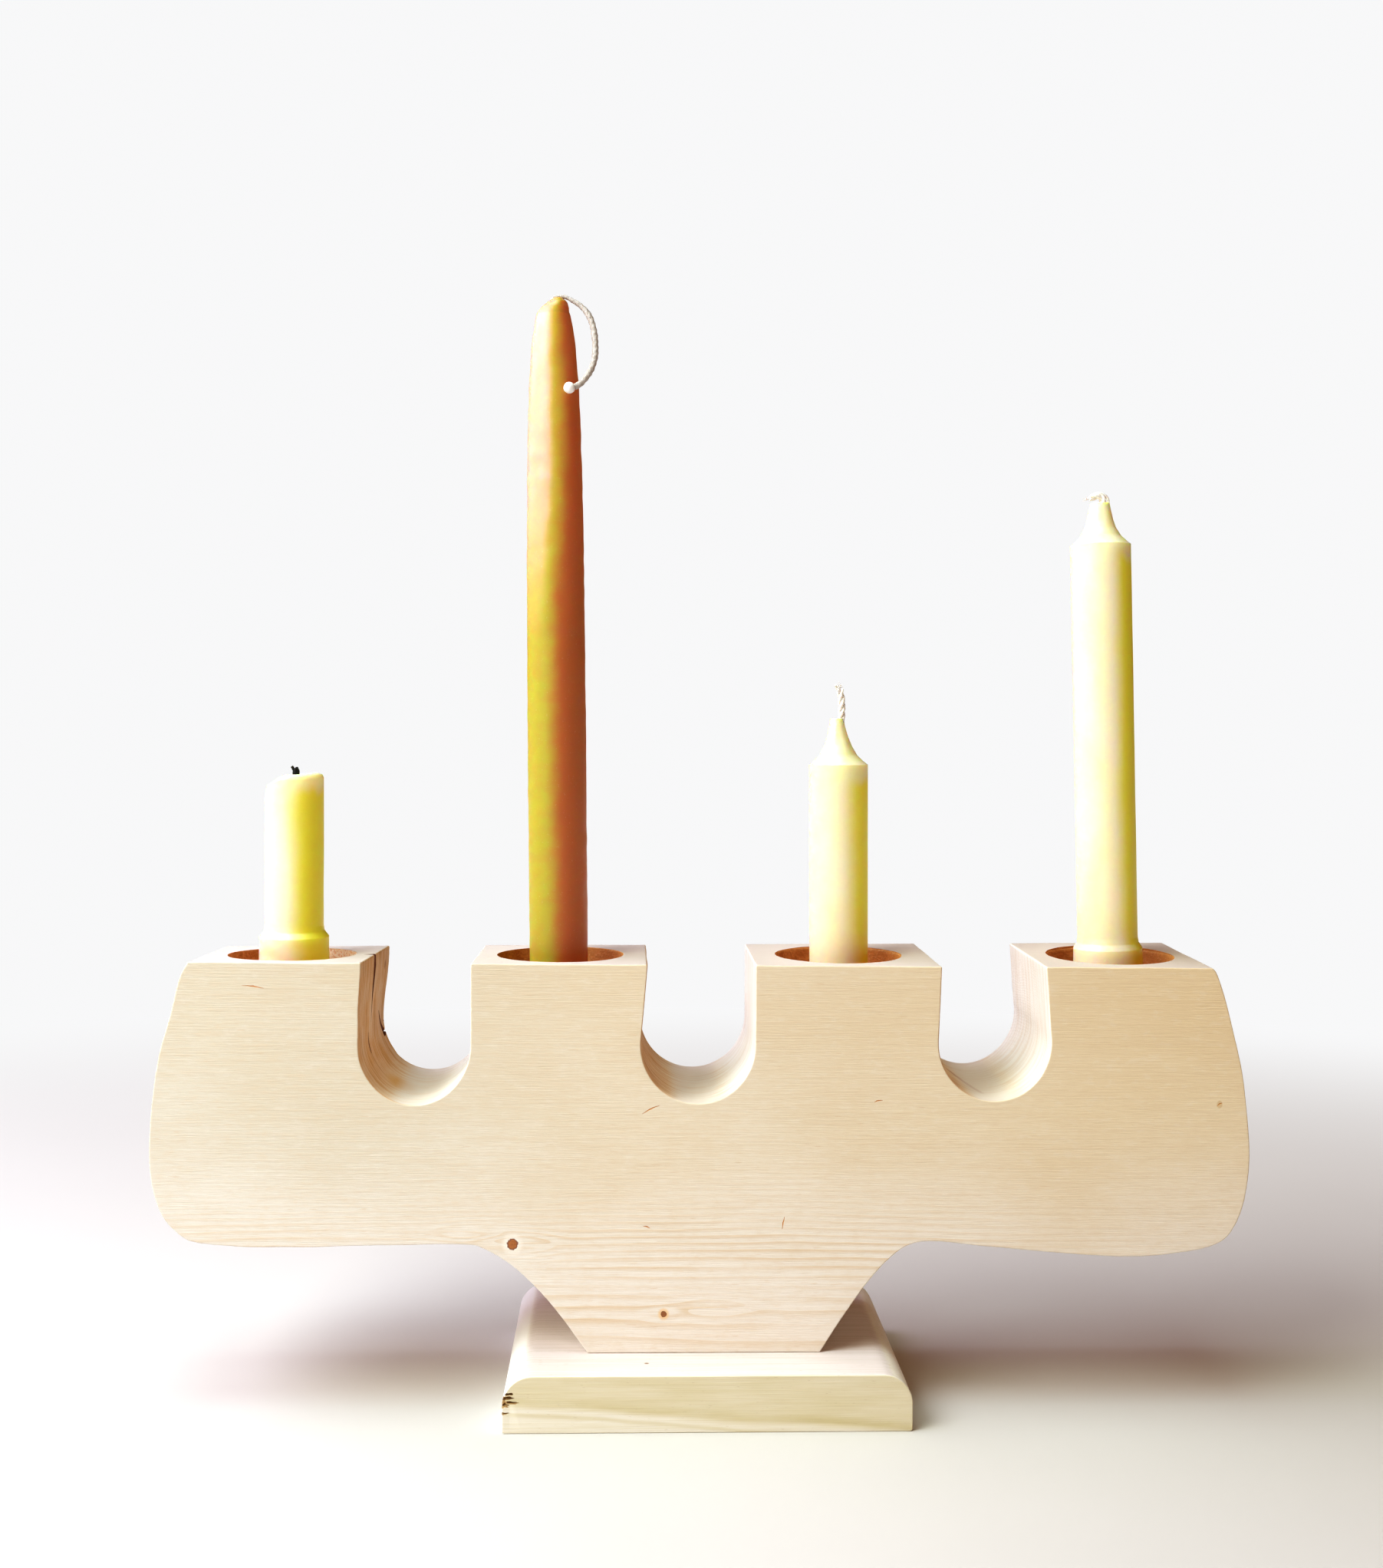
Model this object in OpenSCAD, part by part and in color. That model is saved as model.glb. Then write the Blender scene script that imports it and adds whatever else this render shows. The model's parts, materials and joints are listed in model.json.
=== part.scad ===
// Four-light wooden candlestick. A thick softwood block is sawn into flat-topped
// pillars with U-shaped slots between them and stands on a small hardwood base plate.
// Each pillar has a wide round recess with a narrower socket in its floor for a candle.
// Millimetres, +Z up. The origin is on the ground, in the middle of the footprint.

/* [Block] */
// Length of the block from end to end
block_w = 376; // [366:1:390]
// Thickness of the block, front to back
block_t = 58; // [54:1:64]
// Height of the block from its foot to the pillar tops
block_h = 133; // [130:1:140]
// Height of the underside of the arms above the foot
arm_z = 37; // [34:1:40]
// Width of the foot where it meets the base plate
foot_w = 80; // [74:1:86]
// How far the block stands behind the middle of the base plate
block_y = 1.7; // [0:0.1:4]

/* [Slots] */
// Depth of each U-shaped slot, left to right
slot_depth = [48, 47.5, 46.6]; // [44:0.1:50]
// Middle of the round bottom of each slot
slot_x = [-99, -2.8, 98.9]; // [-100:0.1:100]
// Half the width of each slot at its widest
slot_half = [18.7, 19.3, 19.2]; // [17:0.1:20]
// Middle of the mouth of each slot
mouth_x = [-98.8, -1.8, 98.3]; // [-100:0.1:100]
// Half the width of the mouth of each slot
mouth_half = [18.5, 18.2, 17.7]; // [17:0.1:19]
// Height of the round part of a slot's bottom
slot_round = 20; // [18:0.5:22]

/* [Candle recesses and sockets] */
// Middle of each round recess
recess_x = [-145.3, -50.9, 48.1, 146.1]; // [-147:0.1:148]
// Diameter of a recess
recess_d = 44.5; // [40:0.5:45]
// Depth of a recess
recess_depth = 16; // [12:1:18]
// Diameter of the socket in the floor of a recess
socket_d = 21.6; // [21.4:0.1:22]
// Depth of a socket below the floor of its recess
socket_depth = 18; // [14:1:20]

/* [Base plate] */
// Length of the base plate
base_w = 136; // [130:1:142]
// Depth of the base plate, front to back
base_d = 97; // [90:1:104]
// Thickness of the base plate
base_t = 19; // [18:0.5:20]
// Radius of the rounded-over left and right edges
base_round = 10; // [8:0.5:11]
// How far the middle of the base plate is to the right of the block's middle
base_x = 0.6; // [0:0.1:2]

/* [Screws] */
// Distance of each screw from the middle of the block
screw_x = 24; // [18:1:28]
// Length of a screw
screw_len = 38; // [34:1:42]
// Shank diameter of a screw
screw_d = 4.2; // [4:0.1:4.5]
// Head diameter of a screw
head_d = 8.4; // [8:0.1:9]

/* [Candles] */
// Middle of each candle where it leaves the block
candle_x = [-144.8, -51.5, 48.3, 145.5]; // [-146:0.1:147]
// Lean of each candle and its socket to the right, in degrees
candle_lean = [0, -0.8, -0.6, -1.9]; // [-2:0.1:0]
// Body diameter of each candle
candle_d = [20.4, 20.6, 20.9, 21.2]; // [20:0.1:22]
// Height of each candle's full-width body above the block
body_h = [62.5, 145, 68, 147]; // [60:0.5:150]
// Height of the tip of each candle above the block
tip_h = [62.5, 231.2, 84.5, 162]; // [60:0.1:232]
// Diameter of a cast candle's flared collar
collar_d = 24.4; // [24:0.1:25]
// Diameter of the thick wicks
wick_d = 2.6; // [2:0.1:3]
// Diameter of the dipped taper's wick
taper_wick_d = 1.6; // [1.4:0.1:1.8]
// Diameter of the wax bead on the end of the taper's wick
bead_d = 4.2; // [4:0.1:5.2]

/* [Hidden] */

BURNT = 0;
TAPER = 1;
SHORT = 2;
TALL = 3;

half_w = block_w / 2;
top_z = base_t + block_h;
round_sides = 96;
curve_steps = 3;
// Free space under each candle, and round its foot in the socket
candle_gap = 0.3;
side_gap = 0.4;
foot_r = socket_d / 2 - side_gap;
foot_z = candle_gap - recess_depth - socket_depth;
// Depth at which a candle's foot has its full socket size
fit_z = 2 - recess_depth;
// Depth below the head at which a screw's thread starts, and its pitch
thread_start = 20;
thread_pitch = 2.8;
thread_turns = 5;
thread_root_r = screw_d / 2 - 0.6;
head_h = 2.4;
head_inset = 0.4;
screw_gap = 0.2;
cut = 1;

// Left end and underside, from the top corner down to the foot
left_side = [
    [-half_w + 13, block_h],
    [-half_w + 10, block_h - 6],
    [-half_w + 7, block_h - 18],
    [-half_w + 3.5, block_h - 30],
    [-half_w + 1, block_h - 47],
    [-half_w, block_h - 63],
    [-half_w + 1, block_h - 76],
    [-half_w + 4, arm_z + 11],
    [-half_w + 9, arm_z + 5],
    [-half_w + 17, arm_z + 1],
    [-half_w + 40, arm_z - 0.5],
    [-half_w + 75, arm_z],
    [-foot_w / 2 - 43, arm_z + 0.3],
    [-foot_w / 2 - 36, arm_z - 0.8],
    [-foot_w / 2 - 27, arm_z - 6],
    [-foot_w / 2 - 19, arm_z - 13],
    [-foot_w / 2 - 11, 15],
    [-foot_w / 2, 0]
];
// Right end and underside, from the foot up to the top corner
right_side = [
    [foot_w / 2, 0],
    [foot_w / 2 + 8, 12.5],
    [foot_w / 2 + 17, 25],
    [foot_w / 2 + 24, arm_z - 4.5],
    [foot_w / 2 + 31, arm_z],
    [foot_w / 2 + 41, arm_z + 0.8],
    [half_w - 80, arm_z - 2],
    [half_w - 45, arm_z - 4.5],
    [half_w - 26, arm_z - 3.5],
    [half_w - 13, arm_z - 1],
    [half_w - 6, arm_z + 4],
    [half_w - 1.5, block_h - 81],
    [half_w, block_h - 66],
    [half_w - 1, block_h - 52],
    [half_w - 3.5, block_h - 34],
    [half_w - 8, block_h - 16],
    [half_w - 12, block_h - 3],
    [half_w - 14, block_h]
];

// Route of the free wick loop, from the taper's tip to its bead
loop_route = [
    [0, 0, 0], [1.3, 0, 0.3], [2.8, -0.1, 0.5], [4.6, -0.3, 0.3],
    [6.6, -0.8, -0.8], [9.2, -1.5, -2.5], [11.7, -2.4, -5.1],
    [13.4, -3.3, -8.3], [14.5, -4.4, -12.5], [15, -5.5, -17.4],
    [14.9, -6.6, -21.6], [14, -7.7, -25.4], [12.3, -8.6, -28.7],
    [10.1, -9.2, -31.4], [7.9, -9.6, -32.8]
];
bead_at = [6.2, -9.8, -33.1];
loop_sides = 8;

// One point of a smooth curve through a, b, c and d, at t between b and c
function curve_point(a, b, c, d, t) = 0.5 * (
    2 * b
    + (c - a) * t
    + (2 * a - 5 * b + 4 * c - d) * t * t
    + (3 * b - a - 3 * c + d) * t * t * t
);

// Smooth curve through the points p
function smooth(p) = concat(
    [
        for (i = [0 : len(p) - 2])
            for (k = [0 : curve_steps - 1])
                curve_point(
                    p[max(i - 1, 0)], p[i], p[i + 1],
                    p[min(i + 2, len(p) - 1)], k / curve_steps
                )
    ],
    [p[len(p) - 1]]
);

// Outline of slot i from its right mouth corner round to its left one
function slot_outline(i) = concat(
    [[mouth_x[i] + mouth_half[i], block_h]],
    [
        for (a = [0 : -10 : -180])
            [
                slot_x[i] + slot_half[i] * cos(a),
                block_h - slot_depth[i] + slot_round * (1 + sin(a))
            ]
    ],
    [[mouth_x[i] - mouth_half[i], block_h]]
);

function unit(v) = v / norm(v);

// Direction of the path p at its point i
function path_way(p, i) = unit(p[min(i + 1, len(p) - 1)] - p[max(i - 1, 0)]);

// Ring of points round the path p at its point i
function ring(p, i, r, sides) =
    let (
        way = path_way(p, i),
        side = unit(cross(way, [0, 1, 0])),
        up = cross(side, way)
    )
    [
        for (k = [0 : sides - 1])
            p[i] + r * (cos(360 * k / sides) * side + sin(360 * k / sides) * up)
    ];

// Round tube of radius r along the path p
module tube(p, r, sides) {
    rings = len(p);
    points = [for (i = [0 : rings - 1]) each ring(p, i, r, sides)];
    walls = [
        for (i = [0 : rings - 2])
            for (k = [0 : sides - 1])
                [
                    i * sides + k,
                    i * sides + (k + 1) % sides,
                    (i + 1) * sides + (k + 1) % sides,
                    (i + 1) * sides + k
                ]
    ];
    start_cap = [for (k = [sides - 1 : -1 : 0]) k];
    end_cap = [for (k = [0 : sides - 1]) (rings - 1) * sides + k];
    polyhedron(points, concat(walls, [start_cap], [end_cap]));
}

// Solid turned from the profile p, a list of [radius, height] points
module turned(p) {
    rotate_extrude($fn = round_sides) polygon(p);
}

// Places its children on top of the block, upright on the candle's own leaning axis
module on_candle_axis(i) {
    translate([candle_x[i], block_y, top_z]) rotate([0, candle_lean[i], 0]) children();
}

// Round hole from the top of the block down to a depth
module top_bore(x, d, depth) {
    translate([x, block_y, top_z - depth]) cylinder(h = depth + cut, d = d, $fn = round_sides);
}

module candle_block() {
    outline = concat(
        smooth(left_side), smooth(right_side),
        slot_outline(2), slot_outline(1), slot_outline(0)
    );
    color("#f0dcb8")
    difference() {
        translate([0, block_y, base_t]) rotate([90, 0, 0])
            linear_extrude(block_t, center = true) polygon(outline);
        for (i = [BURNT : TALL]) {
            top_bore(recess_x[i], recess_d, recess_depth);
            on_candle_axis(i) translate([0, 0, -recess_depth - socket_depth])
                cylinder(h = socket_depth + cut, d = socket_d, $fn = round_sides);
        }
        for (x = [-screw_x, screw_x])
            translate([x, block_y, base_t - cut])
                cylinder(h = head_inset + screw_len - base_t + 2 * cut, d = screw_d, $fn = 48);
    }
}

module base_plate() {
    edge_x = base_w / 2 - base_round;
    color("#efe8cc")
    difference() {
        translate([base_x, 0, 0]) intersection() {
            translate([-base_w / 2, -base_d / 2, 0]) cube([base_w, base_d, base_t]);
            union() {
                translate([-base_w / 2, -base_d / 2, 0])
                    cube([base_w, base_d, base_t - base_round]);
                translate([-edge_x, -base_d / 2, 0]) cube([2 * edge_x, base_d, base_t]);
                for (x = [-edge_x, edge_x])
                    translate([x, 0, base_t - base_round]) rotate([90, 0, 0])
                        cylinder(h = base_d, r = base_round, center = true, $fn = round_sides);
            }
        }
        for (x = [-screw_x, screw_x]) translate([x, block_y, 0]) {
            translate([0, 0, -cut])
                cylinder(h = base_t + 2 * cut, d = screw_d + 2 * screw_gap, $fn = 48);
            translate([0, 0, -cut])
                cylinder(h = cut + head_inset, d = head_d + 2 * screw_gap, $fn = 48);
            translate([0, 0, head_inset])
                cylinder(
                    h = head_h, d1 = head_d + 2 * screw_gap, d2 = screw_d + 2 * screw_gap, $fn = 48
                );
        }
    }
}

// Countersunk wood screw, head down, with a cross recess and a pointed thread
module wood_screw(x) {
    thread = [
        for (k = [0 : thread_turns - 1])
            for (p = [[thread_root_r, 0], [screw_d / 2, 0.5], [thread_root_r, 1]])
                [p[0], thread_start + (k + p[1]) * thread_pitch]
    ];
    profile = concat(
        [[0, 0], [head_d / 2, 0], [screw_d / 2, head_h], [screw_d / 2, thread_start - 1]],
        thread,
        [[0, screw_len]]
    );
    color("#b9a06a")
    translate([x, block_y, head_inset]) difference() {
        rotate_extrude($fn = 48) polygon(profile);
        for (a = [0, 90])
            rotate(a) translate([-head_d / 4, -0.5, -cut]) cube([head_d / 2, 1, cut + 1.4]);
    }
}

// Profile of a candle's foot, up to the block's top; a cast candle's foot has a collar
function plain_foot(i, hole_r) = [
    [hole_r, foot_z], [foot_r - 0.6, foot_z], [foot_r, foot_z + 1],
    [foot_r, fit_z], [candle_d[i] / 2, fit_z + 6]
];
function collar_foot(i, hole_r, collar_top) = [
    [hole_r, foot_z], [foot_r - 0.6, foot_z], [foot_r, foot_z + 1],
    [foot_r, fit_z], [collar_d / 2, -2], [collar_d / 2 - 0.1, collar_top - 2],
    [candle_d[i] / 2 + 0.3, collar_top], [candle_d[i] / 2, collar_top + 2]
];

module burnt_candle_wax() {
    r = candle_d[BURNT] / 2;
    h = body_h[BURNT];
    hole_r = wick_d / 2;
    color("#fff4d8")
    on_candle_axis(BURNT) turned(concat(
        collar_foot(BURNT, hole_r, 8),
        [[r, h - 1.6], [r - 0.5, h - 0.5], [r - 1.6, h], [hole_r + 1, h - 0.6], [hole_r, h - 0.6]]
    ));
}

module burnt_candle_wick() {
    color("#1a1614")
    on_candle_axis(BURNT) translate([0, 0, foot_z])
        cylinder(h = body_h[BURNT] + 2.6 - foot_z, d = wick_d, $fn = 32);
}

module taper_wax() {
    r = candle_d[TAPER] / 2;
    hole_r = taper_wick_d / 2;
    tip = tip_h[TAPER];
    color("#e8a13c")
    on_candle_axis(TAPER) turned(concat(
        plain_foot(TAPER, hole_r),
        [
            [r, 85], [r - 0.3, body_h[TAPER]], [r - 0.6, tip - 64], [r - 1.1, tip - 42],
            [r - 1.75, tip - 28], [r - 2.5, tip - 18], [r - 3.4, tip - 10.5], [r - 4.3, tip - 6],
            [r - 5.4, tip - 3.4], [r - 6.8, tip - 1.5], [hole_r + 0.9, tip], [hole_r, tip]
        ]
    ));
}

module taper_wick_core() {
    color("#e9dfcf")
    on_candle_axis(TAPER) translate([0, 0, foot_z])
        cylinder(h = tip_h[TAPER] - foot_z, d = taper_wick_d, $fn = 32);
}

// Moves its children to the tip of the taper, without its lean
module at_taper_tip() {
    tip = tip_h[TAPER];
    lean = candle_lean[TAPER];
    translate([candle_x[TAPER] + tip * sin(lean), block_y, top_z + tip * cos(lean)]) children();
}

module taper_wick_loop() {
    color("#e4dcd2")
    at_taper_tip() tube(loop_route, taper_wick_d / 2, loop_sides);
}

module taper_wick_bead() {
    color("#ffffff")
    at_taper_tip() translate(bead_at) sphere(d = bead_d, $fn = 32);
}

// Cone end of a new cast candle, from its shoulder up to a tip of radius tip_r
function cast_end(i, hole_r, tip_r) =
    let (r = candle_d[i] / 2, h = body_h[i], rise = tip_h[i] - body_h[i], in = r - tip_r)
    [
        [r, h], [r - 0.21 * in, h + 0.08 * rise], [r - 0.46 * in, h + 0.2 * rise],
        [r - 0.68 * in, h + 0.4 * rise], [r - 0.81 * in, h + 0.6 * rise],
        [r - 0.91 * in, h + 0.8 * rise], [tip_r, tip_h[i]], [hole_r, tip_h[i]]
    ];

module short_candle_wax() {
    hole_r = wick_d / 2;
    color("#fff4d8")
    on_candle_axis(SHORT) turned(concat(plain_foot(SHORT, hole_r), cast_end(SHORT, hole_r, 2.3)));
}

module short_candle_wick() {
    color("#e9e4da")
    on_candle_axis(SHORT) translate([0, 0, foot_z])
        cylinder(h = tip_h[SHORT] + 12.5 - foot_z, d = wick_d, $fn = 32);
}

module tall_candle_wax() {
    hole_r = wick_d / 2;
    color("#fff4d8")
    on_candle_axis(TALL) turned(concat(collar_foot(TALL, hole_r, 5), cast_end(TALL, hole_r, 3.3)));
}

// The tall candle's wick is pressed over to the left where it leaves the wax
module tall_candle_wick() {
    bend_z = tip_h[TALL] + wick_d / 2;
    fold = 8;
    color("#f3ecdc")
    on_candle_axis(TALL) union() {
        translate([0, 0, foot_z]) cylinder(h = bend_z - foot_z, d = wick_d, $fn = 32);
        translate([0, 0, bend_z]) sphere(d = wick_d, $fn = 32);
        translate([0, 0, bend_z]) rotate([0, -70, 0]) cylinder(h = fold, d = wick_d, $fn = 32);
    }
}

candle_block();
base_plate();
wood_screw(-screw_x);  // screw_left
wood_screw(screw_x);  // screw_right
burnt_candle_wax();
burnt_candle_wick();
taper_wax();
taper_wick_core();
taper_wick_loop();
taper_wick_bead();
short_candle_wax();
short_candle_wick();
tall_candle_wax();
tall_candle_wick();
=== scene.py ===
import json
import math
import random

import bmesh
import bpy
import numpy as np
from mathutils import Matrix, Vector, noise


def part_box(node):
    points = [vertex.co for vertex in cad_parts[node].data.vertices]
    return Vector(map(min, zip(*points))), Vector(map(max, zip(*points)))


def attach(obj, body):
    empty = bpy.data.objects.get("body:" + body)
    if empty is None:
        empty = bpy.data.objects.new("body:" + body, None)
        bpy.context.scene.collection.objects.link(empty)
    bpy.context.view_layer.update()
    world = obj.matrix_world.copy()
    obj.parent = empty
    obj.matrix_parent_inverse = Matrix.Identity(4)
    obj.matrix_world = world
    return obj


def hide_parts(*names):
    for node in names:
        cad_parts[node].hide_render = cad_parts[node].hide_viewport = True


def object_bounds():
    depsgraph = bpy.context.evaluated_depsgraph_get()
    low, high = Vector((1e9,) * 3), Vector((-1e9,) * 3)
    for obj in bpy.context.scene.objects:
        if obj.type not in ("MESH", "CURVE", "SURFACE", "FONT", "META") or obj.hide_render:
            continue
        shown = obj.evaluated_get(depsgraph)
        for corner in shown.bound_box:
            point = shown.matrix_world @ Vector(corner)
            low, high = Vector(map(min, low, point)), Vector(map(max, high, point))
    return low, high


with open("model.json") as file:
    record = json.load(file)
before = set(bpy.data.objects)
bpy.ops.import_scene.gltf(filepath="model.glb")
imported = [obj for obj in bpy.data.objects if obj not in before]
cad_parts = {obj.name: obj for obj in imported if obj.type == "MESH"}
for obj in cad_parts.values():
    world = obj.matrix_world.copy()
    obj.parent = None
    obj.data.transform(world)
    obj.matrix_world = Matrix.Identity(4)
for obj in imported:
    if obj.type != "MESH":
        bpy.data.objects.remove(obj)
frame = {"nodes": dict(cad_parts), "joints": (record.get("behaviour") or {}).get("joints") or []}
cad_low, cad_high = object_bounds()

MM = 0.001

block_low, block_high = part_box("candle_block")
base_low, base_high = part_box("base_plate")
TOP_Z = block_high.z
FRONT_Y = block_low.y
BACK_Y = block_high.y
MIDDLE_Y = (FRONT_Y + BACK_Y) / 2
# An outline's corner is sharp where it turns by more than this
SHARP_TURN = math.radians(28)
# Rings of a candle that come closer than this, in millimetres, are merged
LEAST_RING_GAP = 0.05

# The CAD wax of each candle, from left to right, under the name of its body
CANDLE_WAX = {
    "burnt_candle": "burnt_candle_wax", "taper": "taper_wax",
    "short_candle": "short_candle_wax", "tall_candle": "tall_candle_wax",
}
# Holes of the CAD block and base plate
RECESS_DEPTH = 16 * MM
RECESS_RADIUS = 22.25 * MM
SOCKET_DEPTH = 18 * MM
SOCKET_RADIUS = 10.8 * MM
# The two screws stand this far left and right of the middle
SCREW_X = 24 * MM
PILOT_DEPTH = 20.4 * MM
PILOT_RADIUS = 2.1 * MM
CLEARANCE_DEPTH = 25 * MM
CLEARANCE_RADIUS = 2.3 * MM
# Left wall of the first slot along X, in millimetres
FIRST_WALL = -117.5

# The camera's focal length (mm), place (m) and turn (degrees)
CAMERA_LENS = 39.63
CAMERA_PLACE = (-0.0268, -0.6111, 0.23065)
CAMERA_TURN = (88.325, -0.449, -2.048)

# ---------------------------------------------------------------- small tools


def smoothstep(low, high, value):
    """0 below low, 1 above high, and an even turn between them."""
    t = np.clip((value - low) / (high - low), 0, 1)
    return t * t * (3 - 2 * t)


def ripple(points, size, seed=0.0):
    """Soft noise from -1 to 1 at each point. Its lumps may have a size for each of X, Y and Z."""
    scale = 1 / (np.ones(3) * size)
    shift = np.array([seed * 7.3, seed * 3.1, seed * 5.7])
    flat = np.asarray(points, float).reshape(-1, 3) * scale + shift
    values = np.array([noise.noise(Vector(p)) for p in flat])
    return values.reshape(np.shape(points)[:-1])


def curve_through(points, step):
    """Points about a step apart on a smooth curve through some points."""
    p = np.asarray(points, float)
    out = []
    for i in range(len(p) - 1):
        b, c = p[i], p[i + 1]
        a = p[i - 1] if i > 0 else 2 * b - c
        d = p[i + 2] if i + 2 < len(p) else 2 * c - b
        count = max(1, round(float(np.linalg.norm(c - b)) / step))
        for t in np.arange(count) / count:
            out.append(
                0.5 * (2 * b + (c - a) * t + (2 * a - 5 * b + 4 * c - d) * t**2
                       + (3 * b - a - 3 * c + d) * t**3)
            )
    out.append(p[-1])
    return np.array(out)


def piece_from(name, bm, material):
    """A piece made of a bmesh, in the scene."""
    mesh = bpy.data.meshes.new(name)
    bm.to_mesh(mesh)
    bm.free()
    mesh.materials.append(material)
    piece = bpy.data.objects.new(name, mesh)
    bpy.context.scene.collection.objects.link(piece)
    return piece


def skin(name, rings, material):
    """Closed mesh through rings of points, each joined to the next, with a cap on each end."""
    rings = np.asarray(rings, float)
    count, around = rings.shape[:2]
    bm = bmesh.new()
    points = [bm.verts.new(p) for p in rings.reshape(-1, 3)]
    for i in range(count - 1):
        for k in range(around):
            after = (k + 1) % around
            bm.faces.new((
                points[i * around + k], points[i * around + after],
                points[(i + 1) * around + after], points[(i + 1) * around + k],
            ))
    bm.faces.new(points[:around])
    bm.faces.new(points[-around:])
    bmesh.ops.recalc_face_normals(bm, faces=bm.faces)
    return piece_from(name, bm, material)


def finished(piece, angle=40):
    """Shades a piece smooth, with sharp edges where its faces meet at more than an angle."""
    piece.data.shade_smooth()
    piece.data.set_sharp_from_angle(angle=math.radians(angle))
    return piece


def placed(piece, body, node, angle=40):
    """Finishes a piece and lets it ride with its body, in place of its CAD node."""
    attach(finished(piece, angle), body)
    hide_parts(node)


def joined(name, parts):
    """One piece made of several meshes of the same material."""
    bm = bmesh.new()
    for part in parts:
        bm.from_mesh(part.data)
    piece = piece_from(name, bm, parts[0].data.materials[0])
    for part in parts:
        bpy.data.objects.remove(part)
    return piece


def carved(piece, cutters):
    """The piece with every cutter taken out of it. A cut keeps its cutter's material."""
    for cutter in cutters:
        cut = piece.modifiers.new("cut", "BOOLEAN")
        cut.operation = "DIFFERENCE"
        cut.solver = "MANIFOLD"
        cut.material_mode = "TRANSFER"
        cut.object = cutter
    result = piece.evaluated_get(bpy.context.evaluated_depsgraph_get())
    mesh = bpy.data.meshes.new_from_object(result)
    piece.modifiers.clear()
    piece.data = mesh
    for cutter in cutters:
        bpy.data.objects.remove(cutter)
    return piece


# ---------------------------------------------------------------- camera and free wick


def make_camera():
    """Camera somewhat above the pillar tops and a little left of the middle."""
    camera = bpy.data.objects.new("camera", bpy.data.cameras.new("camera"))
    camera.data.lens = CAMERA_LENS
    camera.location = CAMERA_PLACE
    camera.rotation_euler = [math.radians(angle) for angle in CAMERA_TURN]
    bpy.context.scene.collection.objects.link(camera)
    bpy.context.scene.camera = camera


def rays(turn, side, up):
    """Vectors at some angles in the plane of two axes."""
    return np.cos(turn)[:, None] * np.asarray(side) + np.sin(turn)[:, None] * np.asarray(up)


def frames_along(path):
    """Two unit vectors across a path at each of its points, with no twist between them."""
    ways = np.gradient(path, axis=0)
    ways /= np.linalg.norm(ways, axis=1)[:, None]
    side = np.cross(ways[0], [0.0, 1.0, 0.0])
    if np.linalg.norm(side) < 0.1:
        side = np.cross(ways[0], [1.0, 0.0, 0.0])
    sides = []
    for way in ways:
        side = side - way * (side @ way)
        side /= np.linalg.norm(side)
        sides.append(side)
    sides = np.array(sides)
    return sides, np.cross(ways, sides)


def tube(name, path, radius, sides, material, strands=0, twist=0.0, depth=0.0):
    """Tube along a path. Strands, twist (in turns) and depth give it the look of twisted yarn."""
    path = np.asarray(path, float)
    across, up = frames_along(path)
    radius = np.broadcast_to(radius, len(path))
    along = np.linspace(0, 1, len(path))
    turn = np.arange(sides) * 2 * math.pi / sides
    rings = []
    for i, centre in enumerate(path):
        lay = strands * (turn - 2 * math.pi * twist * along[i])
        lobes = 1 - depth * (0.5 - 0.5 * np.cos(lay))
        r = (radius[i] * lobes)[:, None]
        rings.append(centre + r * rays(turn, across[i], up[i]))
    return skin(name, rings, material)


TAPER_TIP = Vector(
    np.mean([v.co for v in frame["nodes"]["taper_wick_core"].data.vertices
             if v.co.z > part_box("taper_wick_core")[1].z - 0.2 * MM], axis=0)
)
# Route of the free wick from the taper's tip, in millimetres
LOOP_ROUTE = [
    (0, 0, 0), (1.3, 0, 0.3), (2.8, -0.1, 0.5), (4.6, -0.3, 0.3),
    (6.6, -0.8, -0.8), (9.2, -1.5, -2.5), (11.7, -2.4, -5.1),
    (13.4, -3.3, -8.3), (14.5, -4.4, -12.5), (15, -5.5, -17.4),
    (14.9, -6.6, -21.6), (14, -7.7, -25.4), (12.3, -8.6, -28.7),
    (10.1, -9.2, -31.4), (7.9, -9.6, -32.8),
]
LOOP_DIAMETER = 1.9 * MM


def make_wick_loop(material, bead_material):
    """The free loop of wick at the taper's tip, and the wax bead on its end."""
    path = curve_through(np.array(LOOP_ROUTE) * MM + np.array(TAPER_TIP), 0.5 * MM)
    along = np.linspace(0, 1, len(path))
    radius = LOOP_DIAMETER / 2 * (
        0.8 + 0.4 * smoothstep(0.12, 0.36, along) + 0.04 * np.sin(40 * along)
    )
    loop = tube(
        "waxed_wick_loop", path, radius, sides=20, strands=3, twist=7, depth=0.14,
        material=material,
    )
    low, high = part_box("taper_wick_bead")
    bead = lump(
        "wax_bead", (low + high) / 2, (high - low) / 2 * 0.97, bead_material,
        roughness=0.05, seed=4,
    )
    placed(loop, "taper", "taper_wick_loop")
    placed(bead, "taper", "taper_wick_bead")


def lump(name, centre, half_size, material, roughness, seed):
    """Uneven ball, used for a blob of wax and to tear chips out of wood."""
    bm = bmesh.new()
    bmesh.ops.create_icosphere(bm, subdivisions=3, radius=1.0)
    for v in bm.verts:
        wave = noise.noise(v.co * 1.3 + Vector((seed, 2 * seed, 3 * seed)))
        v.co = Vector(centre) + v.co * Vector(half_size) * (1 + roughness * wave)
    return piece_from(name, bm, material)


# ---------------------------------------------------------------- materials


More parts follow.
